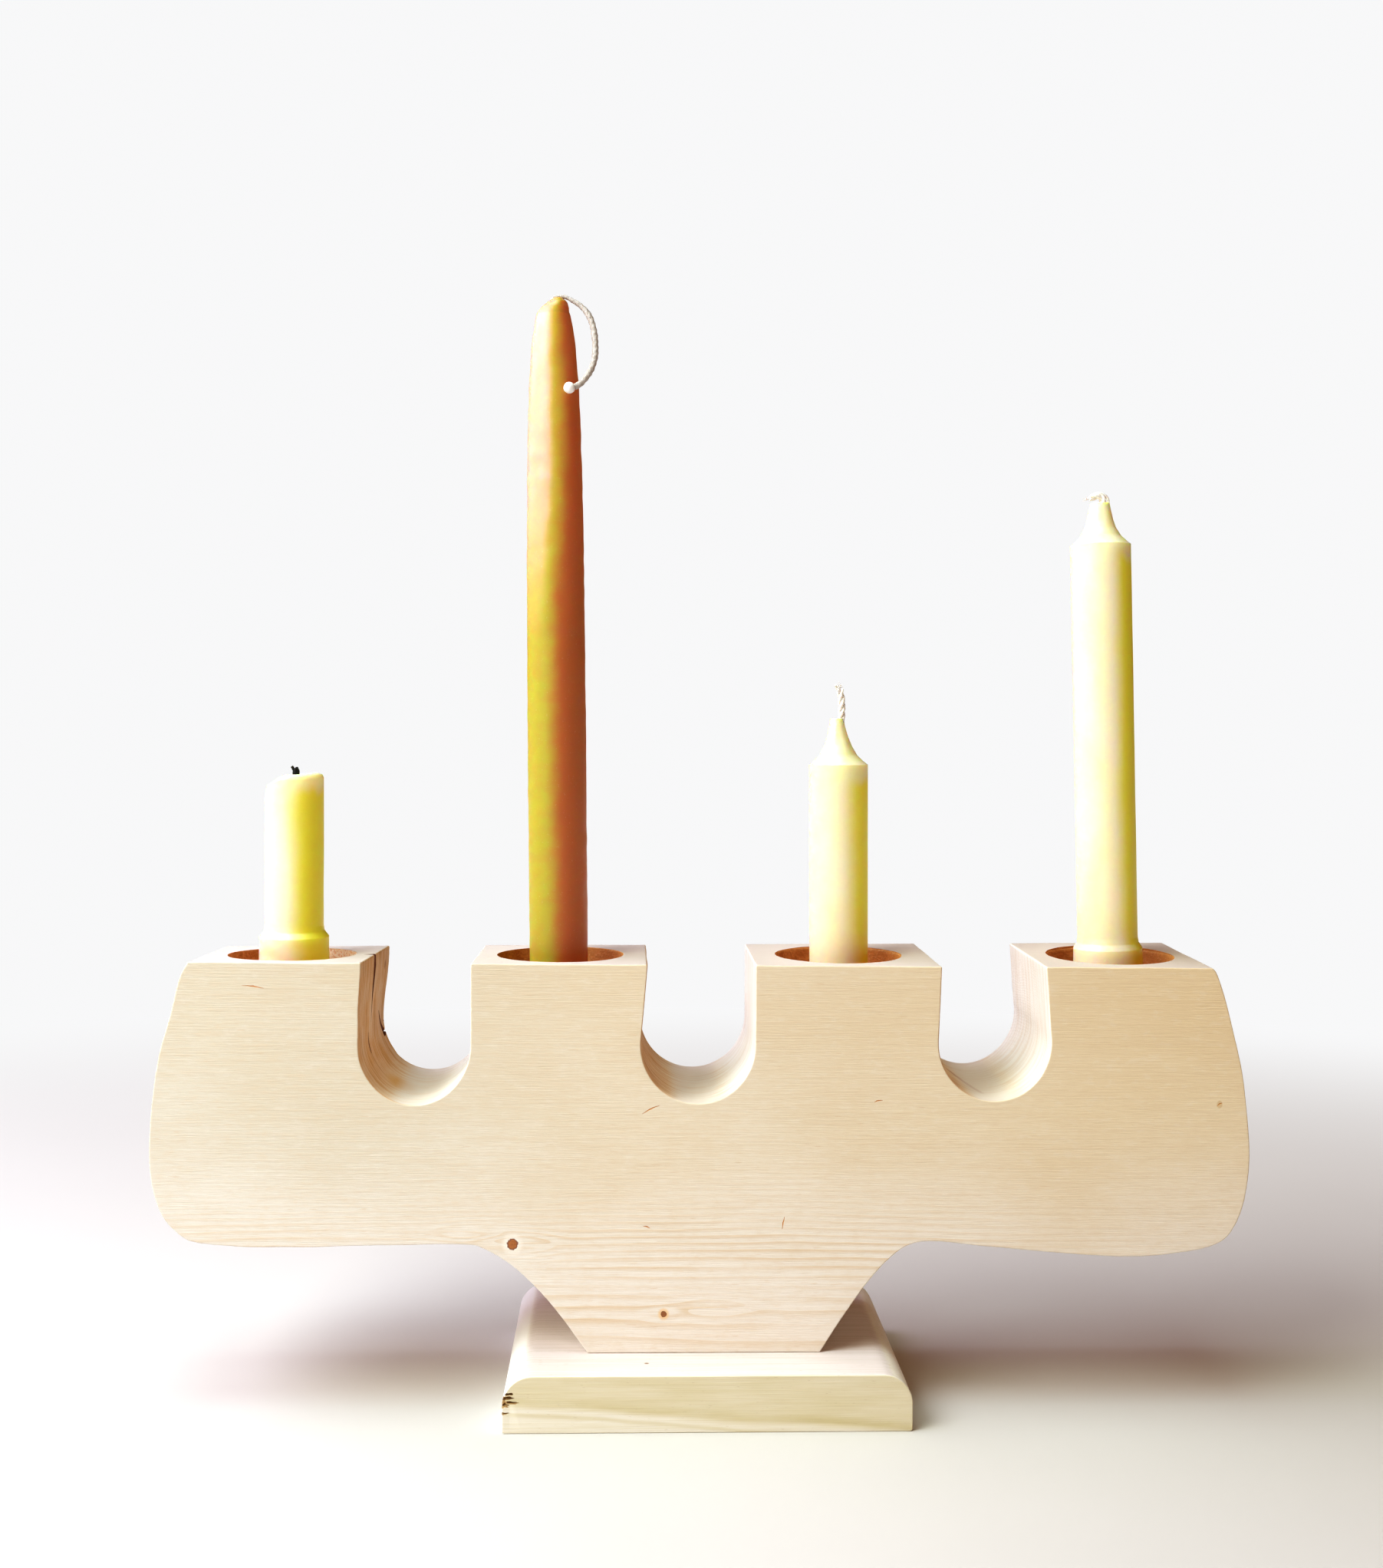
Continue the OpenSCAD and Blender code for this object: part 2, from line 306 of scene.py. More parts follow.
class Paint:
    """A material whose node tree is built with short calls. Coordinates are millimetres."""

    def __init__(self, name):
        self.material = bpy.data.materials.new(name)
        self.material.use_nodes = True
        self.tree = self.material.node_tree
        self.shader = self.tree.nodes["Principled BSDF"]
        self.where = self.tree.nodes.new("ShaderNodeTexCoord")
        self.place = self.vector("SCALE", self.where.outputs["Object"], scale=1 / MM)

    def put(self, socket, value):
        """Sets a socket to a value, or links it to another node's output."""
        if isinstance(value, bpy.types.NodeSocket):
            self.tree.links.new(value, socket)
        else:
            socket.default_value = value

    def set(self, **values):
        """Sets the shader's own sockets, such as Base_Color."""
        for name, value in values.items():
            self.put(self.shader.inputs[name.replace("_", " ")], value)

    def node(self, kind, inputs, **settings):
        """A new node with some settings, and with a value or a link on each of some inputs."""
        node = self.tree.nodes.new("ShaderNode" + kind)
        for name, value in settings.items():
            setattr(node, name, value)
        for key, value in inputs.items():
            self.put(node.inputs[key], value)
        return node

    def vector(self, operation, a, b=(0, 0, 0), scale=1.0):
        # The scale goes by number, because it can be found by name only while it's in use
        node = self.node("VectorMath", {0: a, 1: b, 3: scale}, operation=operation)
        return node.outputs["Value" if operation == "LENGTH" else "Vector"]

    def math(self, operation, a, b=0.0, c=0.0):
        return self.node("Math", {0: a, 1: b, 2: c}, operation=operation).outputs[0]

    def times(self, *values):
        """Product of some values."""
        product = values[0]
        for value in values[1:]:
            product = self.math("MULTIPLY", product, value)
        return product

    def between(self, value, low, high, out_low=0.0, out_high=1.0):
        """Smooth change as a value goes from low to high, where low may be the larger one."""
        inputs = dict(enumerate((value, low, high, out_low, out_high)))
        return self.node("MapRange", inputs, interpolation_type="SMOOTHSTEP").outputs["Result"]

    def grain(self, size, detail=2.0, roughness=0.5):
        """Noise from 0 to 1, with lumps of a size in millimetres along X, Y and Z."""
        squeezed = self.vector("MULTIPLY", self.place, tuple(1 / s for s in size))
        inputs = {"Vector": squeezed, "Scale": 1.0, "Detail": detail, "Roughness": roughness}
        return self.node("TexNoise", inputs).outputs["Fac"]

    def mix(self, share, a, b, blend="MIX"):
        a, b = [c if isinstance(c, bpy.types.NodeSocket) else (*c, 1) for c in (a, b)]
        inputs = {"Factor": share, 6: a, 7: b}
        return self.node("Mix", inputs, data_type="RGBA", blend_type=blend).outputs[2]

    def tint(self, colour, new, value, low, high, most=1.0):
        """Mixes a new colour into another, by a share that is 0 at low and most at high."""
        return self.mix(self.between(value, low, high, 0.0, most), colour, new)

    def part(self, vector, axis):
        return self.node("SeparateXYZ", {0: vector}).outputs[axis]

    def facing(self, axis):
        """How far the surface faces along an axis, from -1 to 1."""
        return self.part(self.where.outputs["Normal"], axis)

    def away_from(self, point, stretch=(1, 1, 1)):
        """Distance from a point in millimetres, with the axes scaled by stretch."""
        shifted = self.vector("SUBTRACT", self.place, point)
        return self.vector("LENGTH", self.vector("MULTIPLY", shifted, stretch))

    def bump(self, height, strength, distance):
        node = self.node("Bump", {"Height": height, "Strength": strength, "Distance": distance})
        self.put(self.shader.inputs["Normal"], node.outputs["Normal"])


PALE_WOOD = (0.95, 0.91, 0.87)
# Brown of the painted shade on the slots' left walls
PAINTED_SHADE_BROWN = (0.66, 0.365, 0.13)
# Painted light along X: the wood is painted paler at its left end, nearest the light, and more tan
# at its right one
PAINTED_LIGHT_ALONG_X = [(-130, (0.915, 0.965, 0.99)), (0, (0.985, 1.0, 0.97)), (170, (1.0, 0.965, 0.83))]
KNOT_HALO = (0.97, 0.92, 0.85)
# Knots on the front of the block: (x, z, radius), in millimetres. A radius below 0 is a knot
# that lies hidden in the wood and only bends the rings above it.
KNOTS = [(-65.5, 56.6, 1.75), (-13.9, 32.4, 0.95), (3.0, 34.5, -1.6), (-79, 61, -1.5)]
# A small tan stain near the right end of the front: (x, z), in millimetres
STAIN = (177.0, 104.4)


def knot_swirl(paint, from_heart, z, knot):
    """Bends the rings away from a knot."""
    knot_x, knot_z, radius = knot
    near = paint.away_from((knot_x, FRONT_Y / MM, knot_z), (0.4, 0.12, 1.0))
    swirl = paint.between(near, 0.0, 5.0 * abs(radius), 1.0, 0.0)
    above = paint.between(
        paint.math("SUBTRACT", z, knot_z), -abs(radius), abs(radius), -1.0, 1.0
    )
    push = paint.times(swirl, above)
    return paint.math("MULTIPLY_ADD", push, -2.1 * abs(radius), from_heart)


def knot_paint(paint, colour, knot):
    """Adds a knot's face: a warm round patch with a dark rim in a pale halo."""
    knot_x, knot_z, radius = knot
    big = radius > 1.2
    disc = paint.away_from((knot_x, FRONT_Y / MM, knot_z), (1.0, 0.12, 0.95))
    disc = paint.math("MULTIPLY_ADD", paint.grain((0.8, 0.8, 0.8)), 0.5 * radius, disc)
    disc = paint.math("SUBTRACT", disc, 0.25 * radius)
    halo = KNOT_HALO if big else (0.90, 0.66, 0.38)
    colour = paint.tint(colour, halo, disc, 2.5 * radius, 1.15 * radius, 0.85)
    colour = paint.tint(colour, (0.26, 0.085, 0.03), disc, 1.12 * radius, 0.97 * radius, 0.9)
    speckled = paint.mix(paint.grain((0.5, 0.5, 0.5)), (0.62, 0.29, 0.11), (0.40, 0.16, 0.06))
    return paint.tint(colour, speckled, disc, 0.92 * radius, 0.72 * radius, 1.0 if big else 0.4)


def slot_stains_and_painted_shade(paint, colour, place):
    """Painted shade on the slots' left walls, which face away from the light, and resin on their
    floors.
    """
    x, y, z = place
    along_cut = paint.grain((24, 1.7, 24), detail=3.0, roughness=0.6)
    blotch = paint.grain((9, 14, 9))
    inside = paint.times(paint.between(z, 100.0, 102.0), paint.between(x, 150.0, 110.0))
    # Painted shade: the slots' left walls face away from the light and are painted brown, darker in
    # streaks along the cut
    wall_painted_shade = paint.times(
        paint.between(paint.facing("X"), 0.12, 0.95),
        paint.between(along_cut, 0.25, 0.6, 0.55, 1.0),
        paint.between(blotch, 0.3, 0.7, 0.75, 1.0), inside,
    )
    colour = paint.mix(wall_painted_shade, colour, PAINTED_SHADE_BROWN)
    wall_deeper_painted_shade = paint.times(wall_painted_shade, paint.between(along_cut, 0.53, 0.63, 0.0, 0.5))
    colour = paint.mix(wall_deeper_painted_shade, colour, (0.42, 0.19, 0.06))
    lower = paint.times(
        paint.between(paint.facing("Z"), 0.5, 0.9), paint.between(z, 118.0, 112.0), inside
    )
    amber = paint.times(paint.between(along_cut, 0.5, 0.62), lower, 0.5)
    colour = paint.mix(amber, colour, (0.70, 0.46, 0.22))
    # A resin pocket at the top of the first slot's left wall
    resin = paint.away_from((FIRST_WALL, 22.0, 145.4), (0.3, 0.7, 0.5))
    colour = paint.tint(colour, (0.36, 0.12, 0.03), resin, 1.3, 0.5, 0.8)
    # An amber stain and a short dark fleck on the first slot's floor
    in_first = paint.times(inside, paint.between(x, -76.0, -80.0))
    stain = paint.away_from((-107.0, -2.5, 104.0), (0.15, 0.11, 0.08))
    stain = paint.math("MULTIPLY_ADD", along_cut, 1.3, stain)
    stain = paint.times(paint.between(stain, 1.1, 1.75, 0.75, 0.0), in_first)
    colour = paint.mix(stain, colour, (0.66, 0.40, 0.14))
    fleck = paint.away_from((-107.6, -19.5, 102.6), (0.45, 1.6, 0.3))
    fleck = paint.times(paint.between(fleck, 0.4, 1.0, 0.8, 0.0), in_first)
    colour = paint.mix(fleck, colour, (0.30, 0.15, 0.05))
    # A brown streak across the last slot's floor
    drift = paint.math("MULTIPLY_ADD", y, 0.25, x)
    drift = paint.math("MULTIPLY_ADD", blotch, 1.5, drift)
    off_streak = paint.math("ABSOLUTE", paint.math("SUBTRACT", drift, 93.2))
    streak = paint.times(
        paint.between(off_streak, 0.3, 1.5, 0.8, 0.0), paint.between(y, -19.0, -14.0),
        paint.between(y, 14.0, 6.0), lower,
    )
    return paint.mix(streak, colour, (0.48, 0.23, 0.07))


def painted_lit_walls_and_shaded_tops(paint, colour, place):
    """Painted light on the slots' right walls, which face the light, and painted shade that makes
    every flat top a little darker and greyer.
    """
    x, _, z = place
    along_cut = paint.grain((30, 2.2, 30), detail=3.0, roughness=0.6)
    # Painted light: the right walls face the light on the left and are painted pale
    pale = paint.times(
        paint.between(paint.facing("X"), -0.1, -0.8), paint.between(z, 98.0, 101.0),
        paint.between(x, -170.0, -150.0), 0.8,
    )
    lit_wall_colour = paint.mix(
        paint.between(along_cut, 0.4, 0.65), (0.90, 0.90, 0.865), (0.83, 0.79, 0.72)
    )
    colour = paint.mix(pale, colour, lit_wall_colour)
    # Painted shade: every flat top is painted darker and greyer, the pillar tops most
    dust = paint.mix(paint.between(z, 130, 148), (0.77, 0.715, 0.655), (0.67, 0.615, 0.58))
    return paint.tint(colour, dust, paint.facing("Z"), 0.85, 0.98, 0.7)


def pine(name, fresh, line, deep, whole=True):
    """Softwood: growth rings round a heart below the block, with fibres along X.

    fresh, line and deep are the colours of early wood, late wood and end grain. A whole piece
    also has the knots, tones and stains of the block.
    """
    paint = Paint(name)
    place = [paint.part(paint.place, axis) for axis in "XYZ"]
    x, _, z = place
    # Distance from the heart of the tree, which lies below the block and runs along X
    wander = paint.grain((260, 60, 60), detail=1.0)
    waver = paint.grain((70, 14, 14), detail=3.0)
    from_heart = paint.away_from((0, 2, -10), (0, 1, 1))
    from_heart = paint.math("MULTIPLY_ADD", wander, 10.0, from_heart)
    from_heart = paint.math("MULTIPLY_ADD", waver, 3.2, from_heart)
    if whole:
        for knot in KNOTS:
            from_heart = knot_swirl(paint, from_heart, z, knot)
    # Rings are wide near the heart and close together far from it
    squared = paint.times(from_heart, from_heart)
    turns = paint.math("MULTIPLY_ADD", squared, 0.0034, paint.times(from_heart, -0.1))
    ring = paint.math("FRACT", turns)
    late = paint.times(paint.between(ring, 0.35, 0.88), paint.between(ring, 1.0, 0.93))
    patchy = paint.grain((110, 26, 16))
    late = paint.times(late, paint.between(patchy, 0.36, 0.64, 0.1, 1.0))
    # Rings show less high up on the face, and more where the cut crosses the fibres
    end_grain = paint.between(paint.math("ABSOLUTE", paint.facing("X")), 0.35, 0.95)
    low_down = paint.between(z, 56.0, 82.0, 0.74, 0.09)
    from_middle = paint.math("ABSOLUTE", x)
    low_down = paint.times(low_down, paint.between(from_middle, 60.0, 110.0, 1.0, 0.55))
    outermost = paint.between(from_middle, 140.0, 165.0, 0.6, 1.0)
    strength = paint.math("MAXIMUM", low_down, paint.times(end_grain, outermost))
    late = paint.times(late, strength)
    fibre = paint.grain((26, 0.55, 0.55), detail=3.0, roughness=0.6)
    streak = paint.grain((90, 3.2, 2.4), detail=3.0, roughness=0.6)
    mottle = paint.grain((5.0, 1.9, 1.9), detail=4.0, roughness=0.7)
    cloud = paint.grain((70, 30, 40))
    colour = paint.mix(paint.between(cloud, 0.3, 0.7, 0.0, 0.35), fresh, line)
    colour = paint.tint(colour, line, streak, 0.42, 0.72, 0.1)
    colour = paint.mix(paint.times(end_grain, 0.06), colour, deep)
    if whole:
        # The wood is painted paler towards the foot and more tan towards the pillar tops
        drifting = paint.math("MULTIPLY_ADD", cloud, 30.0, z)
        colour = paint.tint(colour, line, drifting, 110.0, 170.0, 0.4)
        # Painted light: paler to the left, nearest the light, and more tan to the right
        colour = paint.mix(1.0, colour, PAINTED_LIGHT_ALONG_X[0][1], "MULTIPLY")
        for (left, tone), (right, next_tone) in zip(PAINTED_LIGHT_ALONG_X, PAINTED_LIGHT_ALONG_X[1:]):
            change = tuple(b / a for a, b in zip(tone, next_tone))
            colour = paint.mix(paint.between(x, left, right), colour, change, "MULTIPLY")
        colour = paint.tint(colour, PALE_WOOD, drifting, 118.0, 50.0, 0.75)
    colour = paint.mix(late, colour, line)
    on_end = paint.times(end_grain, paint.between(outermost, 0.6, 1.0, 0.0, 0.45))
    colour = paint.mix(paint.times(late, on_end), colour, deep)
    colour = paint.tint(colour, line, mottle, 0.45, 0.75, 0.22)
    pale = PALE_WOOD if whole else fresh
    colour = paint.tint(colour, pale, mottle, 0.5, 0.3, 0.14)
    colour = paint.tint(colour, deep, fibre, 0.35, 0.75, 0.12)
    # Resin canals: short thin dark dashes along the fibres
    canal = paint.grain((7, 0.33, 0.33), detail=1.0)
    colour = paint.tint(colour, deep, canal, 0.72, 0.8, 0.4)
    if whole:
        colour = slot_stains_and_painted_shade(paint, colour, place)
        colour = painted_lit_walls_and_shaded_tops(paint, colour, place)
        for knot in KNOTS:
            if knot[2] > 0:
                colour = knot_paint(paint, colour, knot)
        stain = paint.away_from((STAIN[0], FRONT_Y / MM, STAIN[1]), (1.0, 0.3, 0.75))
        colour = paint.tint(colour, (0.66, 0.46, 0.19), stain, 1.2, 0.7, 0.45)
    paint.set(
        Base_Color=colour,
        Roughness=paint.between(fibre, 0.3, 0.7, 0.52, 0.68),
        Specular_IOR_Level=0.3,
    )
    fuzz = paint.grain((5, 0.4, 0.4), detail=4.0, roughness=0.65)
    height = paint.math("MULTIPLY_ADD", late, 0.5, paint.math("ADD", fibre, fuzz))
    paint.bump(height, 0.45, 0.00025)
    return paint.material


def bored_pine_painted_shade():
    """Walls of the drilled recesses: brown end grain, painted darker for the shade inside them, and
    painted paler, with pale torn fibres, where they face the light on the left.
    """
    paint = Paint("bored_pine_painted_shade")
    x = paint.part(paint.place, "X")
    fibre = paint.grain((14, 0.7, 0.7), detail=3.0, roughness=0.6)
    ring = paint.grain((60, 3.0, 3.0))
    torn = paint.grain((0.9, 0.9, 0.9), detail=3.0, roughness=0.6)
    # Painted shade: this brown is darker than the end grain alone, standing in for the shade inside
    # the recesses
    colour = paint.mix(paint.between(ring, 0.35, 0.65), (0.76, 0.385, 0.135), (0.64, 0.285, 0.085))
    colour = paint.tint(colour, (0.46, 0.18, 0.04), fibre, 0.35, 0.7, 0.4)
    # Painted light: walls that face the light on the left are painted paler, with pale torn fibres
    # in the first recess
    painted_light_left = paint.between(paint.facing("X"), 0.1, -0.6)
    first = paint.between(x, -112.0, -118.0)
    colour = paint.mix(paint.times(painted_light_left, 0.45), colour, (0.93, 0.60, 0.24))
    fuzz = paint.times(painted_light_left, paint.between(torn, 0.40, 0.50, 0.45, 1.0), first)
    colour = paint.mix(fuzz, colour, (1.0, 0.95, 0.83))
    specks = paint.times(painted_light_left, paint.between(torn, 0.56, 0.68, 0.0, 0.5))
    colour = paint.mix(specks, colour, (0.95, 0.70, 0.40))
    paint.set(Base_Color=colour, Roughness=0.75, Specular_IOR_Level=0.25)
    paint.bump(paint.math("ADD", fibre, torn), 0.6, 0.0004)
    return paint.material


def poplar():
    """Pale hardwood with olive bands that drift along the board."""
    paint = Paint("poplar_board")
    x = paint.part(paint.place, "X")
    z = paint.part(paint.place, "Z")
    # The olive heartwood ends at a line that sinks from mid height on the left to the right corner
    sunk = paint.math("MULTIPLY_ADD", x, 0.068, z)
    bent = paint.math("MULTIPLY_ADD", paint.grain((60, 25, 30), detail=3.0), 3.6, sunk)
    bent = paint.math("SUBTRACT", bent, 1.8)
    heart = paint.between(bent, 3.2, 5.4)
    edge = paint.times(paint.between(bent, 4.6, 5.8), paint.between(bent, 9.0, 6.2))
    thin = paint.times(paint.between(bent, 0.6, 1.6), paint.between(bent, 1.8, 2.8, 0.5, 0.0))
    long_edge = paint.between(paint.math("ABSOLUTE", paint.facing("Y")), 0.4, 0.95, 0.14, 1.0)
    patchy = paint.between(paint.grain((26, 6, 4), detail=3.0), 0.3, 0.7, 0.55, 1.0)
    green = paint.math("MULTIPLY_ADD", edge, 0.45, paint.times(heart, 0.55))
    green = paint.math("ADD", green, thin)
    green = paint.times(green, patchy, long_edge)
    streak = paint.grain((60, 1.6, 1.1), detail=3.0, roughness=0.6)
    fibre = paint.grain((16, 0.4, 0.4), detail=3.0, roughness=0.6)
    cloud = paint.grain((50, 22, 14))
    colour = paint.mix(
        paint.between(cloud, 0.3, 0.7, 0.0, 0.5), (0.94, 0.91, 0.84), (0.93, 0.88, 0.755)
    )
    tawny = paint.times(long_edge, paint.math("MULTIPLY_ADD", heart, 0.22, 0.16))
    colour = paint.mix(tawny, colour, (0.88, 0.80, 0.60))
    colour = paint.mix(paint.times(green, 0.85), colour, (0.70, 0.62, 0.36))
    colour = paint.tint(colour, (0.78, 0.71, 0.48), streak, 0.45, 0.75, 0.35)
    colour = paint.tint(colour, (0.76, 0.66, 0.45), fibre, 0.4, 0.75, 0.25)
    # Painted light: the routed edge on the left faces the light and is painted nearly white
    colour = paint.tint(colour, (0.99, 0.98, 0.95), paint.facing("X"), -0.15, -0.5, 0.9)
    # Painted shade: the top is painted darker and greyer than the routed edges
    top_painted_shade = paint.mix(paint.between(streak, 0.4, 0.65), (0.78, 0.70, 0.67), (0.72, 0.645, 0.60))
    colour = paint.tint(colour, top_painted_shade, paint.facing("Z"), 0.9, 0.99, 0.85)
    pore = paint.grain((3.0, 0.25, 0.25), detail=1.0)
    colour = paint.tint(colour, (0.42, 0.30, 0.16), pore, 0.7, 0.78, 0.4)
    spot = paint.away_from((-19.7, -36.8, base_high.z / MM), (0.8, 1.0, 1.0))
    colour = paint.tint(colour, (0.30, 0.17, 0.07), spot, 0.9, 0.3, 0.8)
    paint.set(
        Base_Color=colour,
        Roughness=paint.between(fibre, 0.3, 0.7, 0.48, 0.64),
        Specular_IOR_Level=0.3,
    )
    paint.bump(paint.math("ADD", fibre, streak), 0.35, 0.0002)
    return paint.material


def wax(name, painted_lit_colour, painted_shade_colour, turn, glow, reach, patch, rim=None, bloom_and_highlight=None, wobble=0.35):
    """Translucent wax with painted light and painted shade: paler on the side that faces left,
    where a window would be, and deeper in colour on the side that faces away.

    turn is the range of the surface's direction over which the painted shade sets in, and wobble is
    how far the wax's clouds push it about. Glow is how far red, green and blue travel in the wax,
    and reach scales it. Towards the height rim (mm) the wax is painted thin and cream, a painted
    glow, and down in the recess it's painted more lit. Over the range bloom_and_highlight (mm) its
    lit side is painted cream, a painted highlight with a pale waxy haze, and where it faces up it's
    painted darker, a painted shade.
    """
    paint = Paint(name)
    cloud = paint.grain(patch, detail=3.0)
    speck = paint.grain((0.7, 0.7, 0.7))
    z = paint.part(paint.place, "Z")
    sideways = paint.facing("X")
    sideways = paint.math("MULTIPLY_ADD", paint.math("SUBTRACT", cloud, 0.5), wobble, sideways)
    # Higher up, the painted light reaches further round the taper
    if bloom_and_highlight is not None:
        sideways = paint.math("ADD", sideways, paint.between(z, *bloom_and_highlight, 0.0, -0.46))
    if rim is not None:
        # Painted light: down in the recess the wax is painted more lit
        recess_painted_light = paint.between(z, TOP_Z / MM + 12.0, TOP_Z / MM, 0.0, -0.12)
        sideways = paint.math("ADD", sideways, recess_painted_light)
    # Painted light and shade: the shaded colour takes over as the surface turns away from the light
    # on the left
    share = paint.between(sideways, *turn)
    if rim is not None:
        # Painted glow: near its rim the wax is painted thin and pale, as if light came through it
        uneven = paint.math("MULTIPLY_ADD", paint.math("SUBTRACT", cloud, 0.5), 14.0, z)
        thin = paint.between(uneven, rim - 8.0, rim - 2.5)
        share = paint.times(share, paint.math("MULTIPLY_ADD", thin, -0.85, 1.0))
        painted_lit_colour = paint.mix(thin, painted_lit_colour, (0.99, 0.90, 0.66))
    colour = paint.mix(share, painted_lit_colour, painted_shade_colour)
    colour = paint.tint(colour, painted_shade_colour, cloud, 0.4, 0.75, 0.15)
    if bloom_and_highlight is not None:
        # Painted highlight, with a pale waxy haze: the upper part is painted paler, and cream on
        # its lit side
        higher = paint.between(z, *bloom_and_highlight)
        colour = paint.mix(higher, colour, (1.19, 1.09, 1.2), "MULTIPLY")
        painted_light_left = paint.between(sideways, -0.30, -0.72)
        cream = paint.mix(painted_light_left, (0.72, 0.60, 0.24), (0.76, 0.545, 0.41))
        colour = paint.mix(paint.times(painted_light_left, higher, 0.92), colour, cream)
        # Painted shade: where the wax faces up it's painted darker
        upward_painted_shade = paint.between(paint.facing("Z"), 0.1, 0.5)
        colour = paint.mix(upward_painted_shade, colour, (0.84, 0.80, 0.66), "MULTIPLY")
    colour = paint.tint(colour, (1.0, 0.98, 0.9), speck, 0.62, 0.8, 0.12)
    paint.set(
        Base_Color=colour,
        Roughness=paint.between(cloud, 0.3, 0.7, 0.32, 0.46),
        Subsurface_Weight=1.0,
        Subsurface_Radius=glow,
        Subsurface_Scale=reach,
        Specular_IOR_Level=0.45,
        Coat_Weight=0.12,
        Coat_Roughness=0.3,
    )
    paint.bump(paint.grain((2.4, 2.4, 3.6), detail=3.0), 0.25, 0.0003)
    return paint.material


def fibres(name, pale, deep, dust_colour, roughness):
    """Cotton of a wick, stiffened with wax or charred."""
    paint = Paint(name)
    twist = paint.grain((0.5, 0.5, 1.6), detail=3.0)
    dust = paint.grain((1.8, 1.8, 1.8))
    colour = paint.mix(paint.between(twist, 0.35, 0.7), pale, deep)
    colour = paint.tint(colour, dust_colour, dust, 0.62, 0.72, 0.7)
    paint.set(
        Base_Color=colour,
        Roughness=roughness,
        Subsurface_Weight=0.3,
        Subsurface_Radius=(1.0, 0.8, 0.6),
        Subsurface_Scale=0.6 * MM,
    )
    paint.bump(twist, 0.5, 0.0003)
    return paint.material


def zinc():
    """Yellow zinc on steel, with fine turning marks."""
    paint = Paint("yellow_zinc")
    cloud = paint.grain((2.5, 2.5, 2.5), detail=3.0)
    turned = paint.grain((6, 6, 0.16), detail=1.0)
    paint.set(
        Base_Color=paint.mix(cloud, (0.62, 0.47, 0.22), (0.46, 0.40, 0.30)),
        Metallic=1.0,
        Roughness=paint.between(turned, 0.3, 0.7, 0.28, 0.46),
    )
    paint.bump(turned, 0.2, 0.0001)
    return paint.material


# ---------------------------------------------------------------- wood


def front_outline(node):
    """Outline of the front face of a CAD node, as ordered (x, z) points."""
    mesh = frame["nodes"][node].data
    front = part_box(node)[0].y + 0.01 * MM
    key = [tuple(round(c / MM, 3) for c in v.co) for v in mesh.vertices]
    sides = set()
    for face in mesh.polygons:
        if all(mesh.vertices[i].co.y < front for i in face.vertices):
            ring = [key[i] for i in face.vertices]
            sides.update(zip(ring, ring[1:] + ring[:1]))
    # A side that two faces share runs both ways, and a side of the outline only one
    after = {a: b for a, b in sides if (b, a) not in sides}
    start = min(after)
    loop = [start]
    while after[loop[-1]] != start:
        loop.append(after[loop[-1]])
    return np.array([(x, z) for x, _, z in loop]) * MM


def rounded_corner(before, corner, after, radius):
    """Points on the arc that rounds a corner, and how far from the corner it starts."""
    back = (before - corner) / np.linalg.norm(before - corner)
    ahead = (after - corner) / np.linalg.norm(after - corner)
    half = math.acos(float(np.clip(back @ ahead, -1, 1))) / 2
    middle = corner + (back + ahead) / np.linalg.norm(back + ahead) * radius / math.sin(half)
    reach = radius / math.tan(half)
    first, last = corner + back * reach - middle, corner + ahead * reach - middle
    sweep = math.pi - 2 * half
    return [
        middle + (math.sin((1 - t) * sweep) * first + math.sin(t * sweep) * last) / math.sin(sweep)
        for t in np.linspace(0, 1, 7)
    ], reach


def eased(outline, corner_radius, step):
    """The outline with round stretches resampled smoothly and sharp corners eased to a radius."""
    ways = np.roll(outline, -1, axis=0) - outline
    before = np.roll(ways, 1, axis=0)
    turn = np.abs(np.arctan2(
        before[:, 0] * ways[:, 1] - before[:, 1] * ways[:, 0], (before * ways).sum(1)
    ))
    sharp = [i for i in range(len(outline)) if turn[i] > SHARP_TURN]
    spans = []
    for a, b in zip(sharp, sharp[1:] + [sharp[0] + len(outline)]):
        span = [outline[i % len(outline)] for i in range(a, b + 1)]
        dense = [span[0]]
        for p, q in zip(span, span[1:]):
            count = max(1, math.ceil(np.linalg.norm(q - p) / (3.5 * step)))
            dense += [p + (q - p) * (k + 1) / count for k in range(count)]
        spans.append(curve_through(dense, step))
    corners = [
        rounded_corner(this[-2], this[-1], following[1], corner_radius)
        for this, following in zip(spans, spans[1:] + spans[:1])
    ]
    out = []
    for i, span in enumerate(spans):
        for end, reach in ((span[0], corners[i - 1][1]), (span[-1], corners[i][1])):
            span = span[np.linalg.norm(span - end, axis=1) > reach + 0.3 * step]
        out += list(span) + corners[i][0]
    return np.array(out)


def outward(outline):
    """Unit vectors that point out of a closed outline, given in either direction."""
    ways = np.roll(outline, -1, axis=0) - np.roll(outline, 1, axis=0)
    out = np.stack([ways[:, 1], -ways[:, 0]], axis=1)
    out /= np.linalg.norm(out, axis=1)[:, None]
    x, z = outline[:, 0], outline[:, 1]
    area = (x * np.roll(z, -1) - np.roll(x, -1) * z).sum()
    return out if area > 0 else -out


